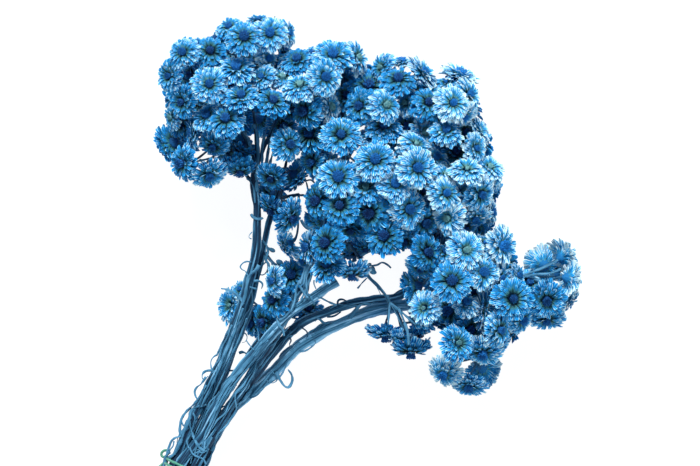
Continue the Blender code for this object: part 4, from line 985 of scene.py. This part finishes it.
low_way = (
    (209, 437, 7.2), (225, 414, 9.5), (241, 399, 12), (257, 387, 14), (272, 373, 16.5),
    (287, 357, 19.5), (302, 344, 22.5), (323, 331, 26), (345, 322, 29), (370, 312, 31), (400, 306, 33),
    (430, 305, 36), (450, 300, 40),
)
low_branches = (
    ((450, 300, 40), (459, 285, 48), (467, 270, 54), (474, 258, 58)),
    ((450, 300, 40), (475, 300, 45), (495, 299, 50), (508, 304, 52)),
    ((430, 305, 36), (446, 322, 41), (459, 338, 45), (470, 352, 46), (476, 364, 46)),
    ((475, 300, 45), (500, 286, 46), (525, 275, 47), (544, 268, 47)),
    ((525, 275, 47), (538, 280, 49), (548, 288, 49)),
    ((450, 300, 40), (462, 306, 32), (474, 316, 25)),
)
low_heads = (
    (466, 250, 88, 35, 20, 27, 1, 1), (502, 246, 75, 37, 0, 50, 1), (483, 272, 83, 33, 20, 27),
    (501, 279, 72, 31, 10, 50, 1), (513, 299, 85, 37, 20, 12, -1), (452, 281, 93, 36, 90, 12, -1),
    (424, 308, 81, 31, 170, 33, 0, 1), (465, 303, 77, 29, 45, 50), (485, 309, 67, 38, 0, 75, 0.5, 1),
    (500, 330, 80, 33, 350, 50), (522, 320, 66, 29, 330, 50), (458, 343, 83, 34, 20, 40, -1, 1),
    (483, 353, 73, 35, 260, 50), (485, 371, 42, 32, 315, 142, 0.4), (444, 374, 67, 33, 235, 50, 1),
    (469, 386, 60, 32, 260, 60), (438, 322, 54, 34, 250, 110, -1), (497, 345, 64, 26, 300, 60),
    (446, 252, 68, 24, 90, 50), (485, 243, 68, 22, 60, 50), (518, 275, 65, 22, 10, 60),
    (543, 264, 35, 36, 120, 163, 1.8), (565, 255, 50, 33, 30, 118, 1.8),
    (572, 279, 59, 33, 350, 112, 1.8), (547, 300, 70, 35, 270, 27, -1), (547, 320, 55, 34, 270, 65),
    (569, 302, 48, 28, 320, 112, 1.8),
)
low_deep_heads = (
    (449, 310, 64, 36, 200, 40), (419, 316, 44, 34, 190, 55), (529, 283, 57, 31, 60, 50),
    (470, 330, 63, 34, 0, 30), (505, 310, 62, 31, 330, 40), (474, 290, 59, 34, 60, 40),
    (474, 318, 4, 41, 0, 180), (505, 262, 26, 37, 20, 115), (526, 300, 26, 37, 0, 115),
    (512, 330, 23, 37, 320, 120), (470, 347, 25, 37, 250, 120), (451, 322, 23, 36, 210, 120),
    (480, 276, 13, 37, 60, 160), (440, 282, 14, 36, 160, 150), (563, 272, 34, 32, 20, 118, 1.8),
    (551, 304, 34, 32, 290, 118, 1.8),
)
# Its heads are a little paler than the rest: painted light.
stalk_with_heads("low", 16, (0.5, -0.87, 3.5), (4.4, 3.9), 5, low_way, low_branches,
                 low_heads, low_deep_heads, turns=0.25, wear_and_light=(-0.1, 0.55, 0.9), torn=12,
                 twig_radii=(1.6, 1.15), dye_and_light=0.54)

# The broken stalk: a thick winged one that snapped off short and carries nothing. It stays in
# the bunch by the tie alone.

broken_way = (
    (203, 433, 22.5), (215, 409, 25.5), (228, 387, 29), (241, 369, 32.5), (256, 352, 36.5),
    (272, 333, 41), (292, 312, 44.5), (313, 297, 46), (337, 281, 47),
)
stalk_with_heads("broken", 17, (-0.5, 0.87, 3.2), (3.7, 3.4), 5, broken_way,
                 wear_and_light=(-0.1, 0.3, 0.6), torn=10, torn_span=(0.0, 0.9))

# Torn wings, curled dry leaves and buds along the stalks. On a real stalk these are shreds of its
# own wings that dried loose, lying on whatever is under them, and small heads that never opened.
# Each row is the thickness at its foot and at its end, how far it is lifted, and its pixels.

# What is under a shred is first looked for as if it were at the middle height. Stalks are taken
# as a little flatter than round, and one counts if its top is near the level of the shred's own.
MIDDLE_HEIGHT = 30
FLATTENED = 0.85
SAME_LEVEL = 9
# A shred that grows thicker than this many times its foot is a bud.
BUD_SWELL = 1.6
SHRED_FLAT, BUD_FLAT = 0.42, 0.85
SHRED_RING_GAP = 0.8
SHRED_SWELLS = (14, 0.12)
SHRED_TWIST = (30, 1.1)
SHRED_PALE = 0.62


def on_top(own, x, y, lift):
    """The spot on whatever lies under this pixel near the stalk, or level with the stalk's middle."""
    place = spot(x, y, MIDDLE_HEIGHT)
    for _ in range(3):
        away = np.hypot(own[:, 0] - place[0], own[:, 1] - place[1])
        near = away.argmin()
        base, radius = own[near, 2:]
        if away[near] < radius:
            height = base + FLATTENED * math.sqrt(radius ** 2 - away[near] ** 2)
        else:
            height = base + 0.2 * radius * math.exp((radius - away[near]) / 3)
        away = np.hypot(every_body[:, 0] - place[0], every_body[:, 1] - place[1])
        under = away < every_body[:, 3]
        tops = every_body[under, 2] + FLATTENED * np.sqrt(every_body[under, 3] ** 2 - away[under] ** 2)
        tops = tops[np.abs(tops - height) < SAME_LEVEL]
        height = max(height, tops.max(initial=0))
        place = spot(x, y, height + lift)
    return place[2]


def torn_wings(pile, own, rows, rng, wear_and_light):
    """Flat shreds along their pixels, level enough not to bob; a bud swells over its outer half."""
    for foot, end, lift, *pixels in rows:
        heights = np.array([on_top(own, x, y, lift) for x, y in pixels])
        level = 0.6 * heights[1:-1] + 0.2 * (heights[:-2] + heights[2:])
        heights[1:-1] = np.maximum(level, heights[1:-1] - 0.5)
        places = spots([(x, y, height) for (x, y), height in zip(pixels, heights)])
        path = smooth_path(places, SHRED_RING_GAP)
        share = np.linspace(0, 1, len(path))
        steps = share * len(path)
        wide = (foot + (end - foot) * share ** 2) * (1 + wander(rng, steps, *SHRED_SWELLS))
        flat = SHRED_FLAT
        if end > BUD_SWELL * foot:
            wide = foot + (end - foot) * np.sin(math.pi * np.clip(share * 1.9 - 0.9, 0, 1)) ** 0.7
            flat = BUD_FLAT
        tube(pile, path, wide, flat, wander(rng, steps, *SHRED_TWIST), lift=SHRED_PALE + wear_and_light)


left_wings = (
    (0.5, 0.8, 0.3, (251, 262), (247, 261.5), (243, 263), (240.3, 266.5), (242, 269.5), (245, 271),
     (248, 275.5)),
    (0.35, 0.35, 0.3, (252, 232), (249.5, 235), (249, 237.5), (251.5, 239)),
    (1.3, 0.8, 0.5, (259, 265), (256, 270), (251, 274), (248, 279), (246.5, 287), (245, 296),
     (242, 306)),
    (1, 0.45, 0.5, (244, 304), (240, 298), (233, 292), (227, 289.5), (221, 288.5)),
    (0.9, 0.4, 0.2, (250, 287), (253, 288), (256.5, 289)),
    (0.8, 0.35, 0.2, (254, 281), (259, 281), (262.5, 284), (261.5, 289)),
    (0.8, 0.8, 0.3, (243, 308), (239, 320), (233, 335), (227, 350), (221, 364), (215, 378), (208, 393),
     (202, 405)),
    (0.7, 0.6, 0.3, (247, 318), (241, 334), (234, 350), (228, 363), (222, 377), (214, 395), (207, 410)),
    (0.7, 0.5, 0.3, (232, 325), (228, 331), (224, 339), (220, 348), (216.5, 356)),
    (0.5, 0.5, 0.4, (218, 354), (213.5, 357), (211, 361), (211, 366), (212.5, 372), (215, 375)),
    (0.8, 0.6, 0.5, (216, 372), (210, 370.5), (205, 371.5), (202.3, 374.5), (202.5, 378.5), (205, 379),
     (208, 376)),
    (0.8, 0.5, 0.5, (206, 377), (201, 384), (197, 387), (194.8, 391), (195.5, 396), (198, 400)),
    (0.9, 0.8, 0.3, (206, 385), (199, 398), (192, 406), (186, 412), (181.5, 419), (180, 427),
     (179.5, 436)),
    (0.5, 0.5, 0.4, (190, 408), (184.5, 414), (181.5, 420), (184, 426), (187, 420)),
    (1, 0.9, 0.7, (206, 404), (199, 406.5), (193, 409), (190, 414), (189.5, 424), (192, 433),
     (196, 442), (200, 448), (205, 451)),
    (1.2, 1.1, 0.6, (190, 417), (186, 427), (183, 436), (179, 446), (174, 454), (169, 458)),
    (0.8, 0.6, 0.2, (181, 436), (175, 438), (171.5, 441), (169, 447), (167, 453), (165, 460)),
    (1.2, 1.2, 0.4, (170, 452), (166, 457), (164.5, 464), (161, 474)),
    (0.5, 0.5, 0.3, (174, 441), (173, 446), (170, 450), (168, 455)),
    (1.3, 1, 0.3, (257, 192), (257, 176), (258, 160), (258, 146), (257, 134), (254, 124)),
    (1.1, 0.8, 0.3, (261, 186), (262, 166), (262, 150), (264, 138), (267, 128)),
    (1.1, 0.7, 0.3, (262, 182), (266, 165), (268, 152), (270, 142), (273, 131)),
    (1, 0.7, 0.3, (264, 182), (269, 166), (272, 156), (275, 146), (278, 136)),
    (1.1, 0.8, 0.3, (257, 180), (253, 163), (251, 150), (248, 139), (243, 129)),
    (0.9, 0.6, 0.3, (258, 174), (250, 165), (240, 160), (228, 158), (214, 158), (203, 160), (194, 162)),
    (0.6, 0.5, 0.3, (200, 159), (202, 163), (206, 169)),
    (0.8, 0.6, 0.4, (247, 178), (251, 182), (254, 190), (255, 203)),
    (0.9, 0.9, 0.5, (251, 214), (253, 217), (258, 219), (263, 218)),
    (0.7, 0.5, 0.6, (193, 413), (195, 418), (193, 428), (190, 436), (187, 441), (189, 448), (192, 453)),
)
inner_wings = (
    (0.6, 0.9, 0.4, (262, 240), (265.5, 244), (268, 249.5), (267, 256)),
    (0.9, 0.45, 0.4, (267, 255), (266, 260), (268.3, 264), (268.5, 269), (266, 273), (262, 275),
     (259, 273), (258.5, 268)),
    (0.5, 1.3, 0.4, (265, 244), (268, 247.5), (272, 250), (275, 251.5)),
    (0.5, 1.9, 0.6, (288, 268), (284, 265), (280, 262.5), (276.5, 260.5)),
    (0.45, 0.45, 0.4, (266, 262), (263, 264.5), (260, 267)),
    (0.6, 0.6, 0.5, (242, 370), (234, 370.5), (226, 371), (219, 373), (215.5, 378), (213, 386),
     (209, 396)),
    (0.5, 0.45, 0.3, (264, 306), (257, 305.5), (249, 306)),
    (0.9, 0.5, 0.4, (239, 353), (243, 352), (247, 354.5), (248, 359), (246.5, 366)),
    (1, 0.8, 0.3, (278, 200), (284, 202), (290, 199), (296, 196), (304, 195)),
    (0.4, 0.4, 0.3, (285, 203), (289, 206), (293, 210)),
    (0.6, 0.6, 0.3, (298, 168), (304, 169), (310, 170), (315, 171.5), (317.5, 176), (317, 184)),
    (0.5, 0.5, 0.3, (303, 170), (305, 178), (307, 185), (308, 191)),
    (0.5, 0.5, 0.3, (305, 181), (311, 180), (315, 183.5)),
    (0.6, 0.6, 0.3, (262, 262), (257, 282), (252, 300), (246, 318)),
    (0.5, 0.4, 0.4, (240, 337), (244, 333), (247, 336), (246, 341), (242, 343)),
)
centre_wings = (
    (0.8, 0.6, 0.5, (388, 295), (390, 303), (389, 314), (388, 325)),
    (0.9, 0.8, 4, (390, 303), (398, 309), (406, 316), (416, 325)),
    (1, 0.9, 5, (399, 309), (404, 321), (408, 334), (409, 345)),
    (0.9, 0.9, 0.5, (330, 240), (320, 256), (310, 268), (305, 279), (299, 284), (296, 292), (295, 301),
     (291, 309)),
    (0.8, 0.8, 0.6, (322, 250), (312, 266), (306, 276), (304, 285), (307, 293), (309, 299)),
    (0.8, 0.7, 0.4, (318, 262), (313, 272), (309, 280), (308, 289), (305, 297), (300, 305)),
    (0.7, 0.6, 0.5, (300, 283), (301, 289), (304, 293), (306, 298), (302, 303), (296, 307)),
    (0.6, 0.6, 0.5, (292, 300), (293, 308), (290, 312), (285, 312), (282, 316), (281, 321)),
    (0.9, 0.9, 0.5, (295, 300), (289, 311), (282, 319), (277, 326), (271, 334), (263, 343)),
    (0.5, 0.5, 0.7, (281, 314), (276, 319), (276, 325), (279, 329), (285, 331), (288, 327)),
    (1, 1, 0.4, (272, 331), (262, 343), (252, 357), (243, 369), (233, 378), (225, 388), (218, 400)),
    (0.6, 0.6, 0.4, (268, 340), (258, 353), (249, 366), (240, 377), (230, 390), (220, 406)),
    (0.4, 0.4, 0.3, (246, 340), (249.5, 345), (254, 350)),
    (0.4, 0.4, 0.3, (257, 329), (258.5, 335), (258.5, 341)),
    (0.8, 0.7, 0.4, (349, 244), (349.5, 256), (351.5, 266), (351, 272)),
    (0.6, 0.5, 0.4, (339, 257), (349, 257), (358, 258.5), (364, 264)),
    (0.6, 0.4, 0.4, (343, 257), (346, 263), (345, 269), (341, 273)),
    (0.5, 0.5, 0.4, (352, 267), (357, 266), (363, 264)),
    (1.5, 1.3, 0.3, (361, 255), (367, 252), (373, 251), (380, 252)),
    (0.7, 0.5, 0.4, (370, 266), (377, 265), (382, 262.5), (387, 264.5), (391, 268)),
    (0.5, 1.4, 0.5, (364, 268), (365, 264), (366.5, 261.5)),
    (0.6, 2, 0.5, (366, 266), (370, 268.5), (375, 270.5)),
    (0.5, 1.2, 0.5, (364, 267), (368, 265), (371.5, 264)),
    (0.5, 1.6, 0.3, (365, 266), (371, 271), (376.5, 273)),
    (0.4, 0.6, 0.3, (367, 278), (362.5, 282.5), (357.5, 288.5)),
    (0.4, 0.3, 0.3, (377, 287), (379, 291), (380.5, 294.5)),
    (0.7, 1.8, 0.2, (388, 243), (387.5, 248), (387, 253)),
    (0.9, 0.8, 0.3, (301, 220), (304, 225), (308, 228.5), (315, 231.5)),
    (0.6, 0.6, 0.3, (308, 228), (312, 227), (316, 226)),
)
top_wings = (
    (0.7, 0.6, 0.6, (230, 408), (225, 410), (222.5, 413), (224.5, 416.5), (228, 415.5), (229, 412)),
    (0.8, 0.7, 0.5, (236, 384), (228, 396), (219, 410), (211, 425), (204, 440)),
    (0.6, 0.5, 0.5, (222, 392), (219, 399), (221, 408), (217, 418), (212, 430)),
)
broken_wings = (
    (0.9, 0.7, 4, (317, 262), (312, 268), (306, 275), (300, 281), (296.5, 288), (295.5, 296),
     (294, 303), (290.5, 311)),
    (0.8, 0.7, 5, (313, 261), (308, 268), (305, 276), (303.5, 285)),
    (0.9, 0.7, 4, (316, 264), (309.5, 270), (306, 277), (306.5, 286), (308, 295)),
    (0.7, 0.6, 3.5, (298.5, 282), (301.5, 288), (304.5, 293), (308, 298)),
    (0.6, 0.6, 3.5, (303, 281), (300.5, 287), (303.5, 293), (307, 298)),
    (0.8, 0.7, 4.5, (311, 262), (306, 267), (302.5, 276), (300, 284)),
    (0.9, 0.7, 3, (314, 265), (312, 274), (309, 282), (305, 292), (301, 300)),
    (0.5, 0.4, 3, (314, 280), (314, 284), (316, 289)),
    (0.7, 0.6, 2, (282, 317), (285, 312), (289, 310), (292, 314)),
    (0.7, 0.6, 2, (279, 320), (285, 316.5), (290, 311)),
    (0.8, 0.7, 2, (277, 318), (279, 325), (283, 330), (284, 336)),
    (1, 0.7, 0.3, (309, 294), (312, 299), (314.5, 304.5)),
    (0.9, 0.6, 0.2, (318, 296), (324, 299.5), (331, 303), (337, 305)),
    (0.6, 0.6, 0.4, (322, 287), (308, 296), (296, 305), (285, 317), (274, 331)),
    (0.8, 0.7, 0.5, (298, 300), (292, 305), (290, 311), (284, 316), (279, 323), (273, 330)),
    (0.7, 0.7, 0.4, (262, 342), (250, 358), (238, 374), (226, 392), (217, 408), (210, 422)),
    (0.6, 0.6, 0.6, (232, 380), (224, 390), (217, 404), (213, 418), (206, 432), (202, 446)),
    (0.6, 0.5, 0.6, (212, 437), (208, 445), (203, 450), (197, 449.5)),
    (0.6, 0.6, 0.7, (190, 447), (192, 453), (197, 456.5), (203, 459), (206, 464)),
    (0.5, 0.5, 0.7, (196, 443), (196, 450), (192.5, 456), (190.5, 464)),
    (0.6, 0.6, 0.6, (209, 449), (203, 452.5), (198, 452), (193, 455)),
)
right_wings = (
    (0.7, 0.6, 0.5, (337.5, 307), (337.8, 301.5), (340, 299.5), (344.5, 300), (349, 304)),
    (0.45, 0.4, 0.3, (290, 330), (289.5, 336), (291, 340.5), (289.5, 345), (293, 348)),
    (0.7, 0.5, 0.3, (299, 328), (296, 332.5), (291.5, 335.5)),
    (0.5, 0.5, 0.3, (298, 327), (303, 328.5), (307, 332), (307.5, 337)),
    (0.6, 0.5, 0.3, (327, 317), (334, 316), (341, 312)),
    (0.6, 0.6, 0.4, (262, 366), (250, 382), (238, 400), (227, 418), (218, 434)),
)
low_wings = (
    (1.2, 0.5, 0.4, (276, 372), (279.5, 379), (285, 386.5), (289.5, 386.5), (292.3, 380.5),
     (291.5, 374.5), (288, 369.5)),
    (0.7, 0.6, 0.2, (281, 376), (274, 380), (267, 384), (262, 390), (256, 395.5), (250, 398)),
    (0.6, 0.55, 0.2, (300, 352), (306, 350.5), (312, 346.5), (315.5, 342), (313, 338)),
    (1.3, 0.8, 0.9, (350, 318), (354, 312), (359, 306), (364, 303.5), (371, 304)),
    (0.9, 0.7, 0.2, (330, 323), (324, 323), (320, 319.5), (317, 318)),
    (0.8, 0.6, 0.3, (322, 324), (315, 329), (309, 333), (306, 339)),
    (0.8, 0.7, 0.5, (395, 305), (375, 308), (352, 315), (330, 325), (312, 336)),
    (0.8, 0.7, 0.5, (300, 342), (288, 354), (276, 367), (265, 380), (251, 396)),
    (0.7, 0.6, 0.6, (270, 371), (275, 374), (277, 380), (272, 383), (266, 379), (270, 373)),
    (0.7, 0.7, 0.4, (254, 384), (240, 404), (229, 420), (217, 438), (211, 451)),
    (0.7, 0.6, 0.6, (215, 446), (212, 453), (208, 460), (203, 468)),
    (1.1, 0.9, 1, (425, 290), (430, 287), (436, 281)),
    (1.1, 0.9, 1, (438, 303), (446, 305), (455, 310), (463, 316), (471, 322)),
    (0.9, 0.8, 12, (519, 277), (533, 272), (547, 266), (558, 260)),
    (0.9, 0.8, 12, (521, 277), (538, 274.5), (551, 273), (561, 269)),
    (0.9, 0.8, 8, (524, 277), (535, 279), (546, 284)),
)
every_body = np.vstack(list(bodies.values()))
# Each stalk's shreds take their own step of tone, as the stalk does: painted light where it is above
# nought, painted shade where it is below, as on the inner, top and right stalks.
for stalk, rows, wear_and_light in (
        ("left", left_wings, 0.12),
        ("inner", inner_wings, -0.05),
        ("centre", centre_wings, 0.15),
        ("top", top_wings, -0.15),
        ("right", right_wings, -0.28),
        ("low", low_wings, 0.12),
        ("broken", broken_wings, 0.15)):
    wings_pile = Pile()
    torn_wings(wings_pile, bodies[stalk], rows, np.random.default_rng(20 + len(rows)), wear_and_light)
    wings = wings_pile.make(stalk + "_torn_wings", [stalk_fibre])
    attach(wings, "root")
    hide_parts("stalk_" + stalk)

# The tie: soft wire in a green coating, wound not quite twice round the stalks, with a small
# loop left over at one end and the other end loose.

wire_radius = 0.8
wire_off_stalks = 0.35
times_round = 1.9
first_angle = math.radians(200)
drift_up = 5.5
loop_radius = 2.2
loop_out, loop_up = 3.6, 5.6
loop_degrees = -150 + 48 * np.arange(7)
loose_run, loose_droop = 3, 1.2
wire_ring_gap = 0.9
wire_sides = 10
GREEN_COATS = ((0.3, (0.03, 0.20, 0.13)), (0.75, (0.13, 0.42, 0.28)))

tie_middle = spot(*TIE_PLACE)
reach = BUNDLE_RADIUS + wire_off_stalks + wire_radius
share = np.linspace(0, 1, 31)[:, None]
turn = first_angle - 2 * math.pi * times_round * share
wound = (tie_middle + BUNDLE_RUN * drift_up * (share - 0.5) + BUNDLE_SIDE * np.cos(turn) * reach
         + np.array((0, 0, 1)) * np.sin(turn) * reach)
outward = (wound[0] - tie_middle) / np.linalg.norm(wound[0] - tie_middle)
loop_turn = np.radians(loop_degrees)[:, None]
loop = (wound[0] + outward * (loop_out + loop_radius * np.cos(loop_turn))
        + BUNDLE_RUN * (loop_up + loop_radius * np.sin(loop_turn)))
step = np.arange(1, 4)[:, None]
last_way = (wound[-1] - wound[-2]) / np.linalg.norm(wound[-1] - wound[-2])
loose = wound[-1] + last_way * loose_run * step - BUNDLE_RUN * loose_droop * step ** 2

wire_pile = Pile()
wire_path = smooth_path(np.vstack([loop[::-1], wound, loose]), wire_ring_gap)
tube(wire_pile, wire_path, wire_radius, sides=wire_sides)

coat = Finish("green_coat")
scuff = coat.noise(700, detail=4)
green_coat = coat.rough_surface(coat.colours(scuff, GREEN_COATS), gloss=0.5, relief=scuff,
                                roughness=coat.between(scuff, 0.6, 0.35), strength=0.25, depth=0.0002)
wire = wire_pile.make("tie_wire_green", [green_coat])
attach(wire, "root")
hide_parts("tie_wire")
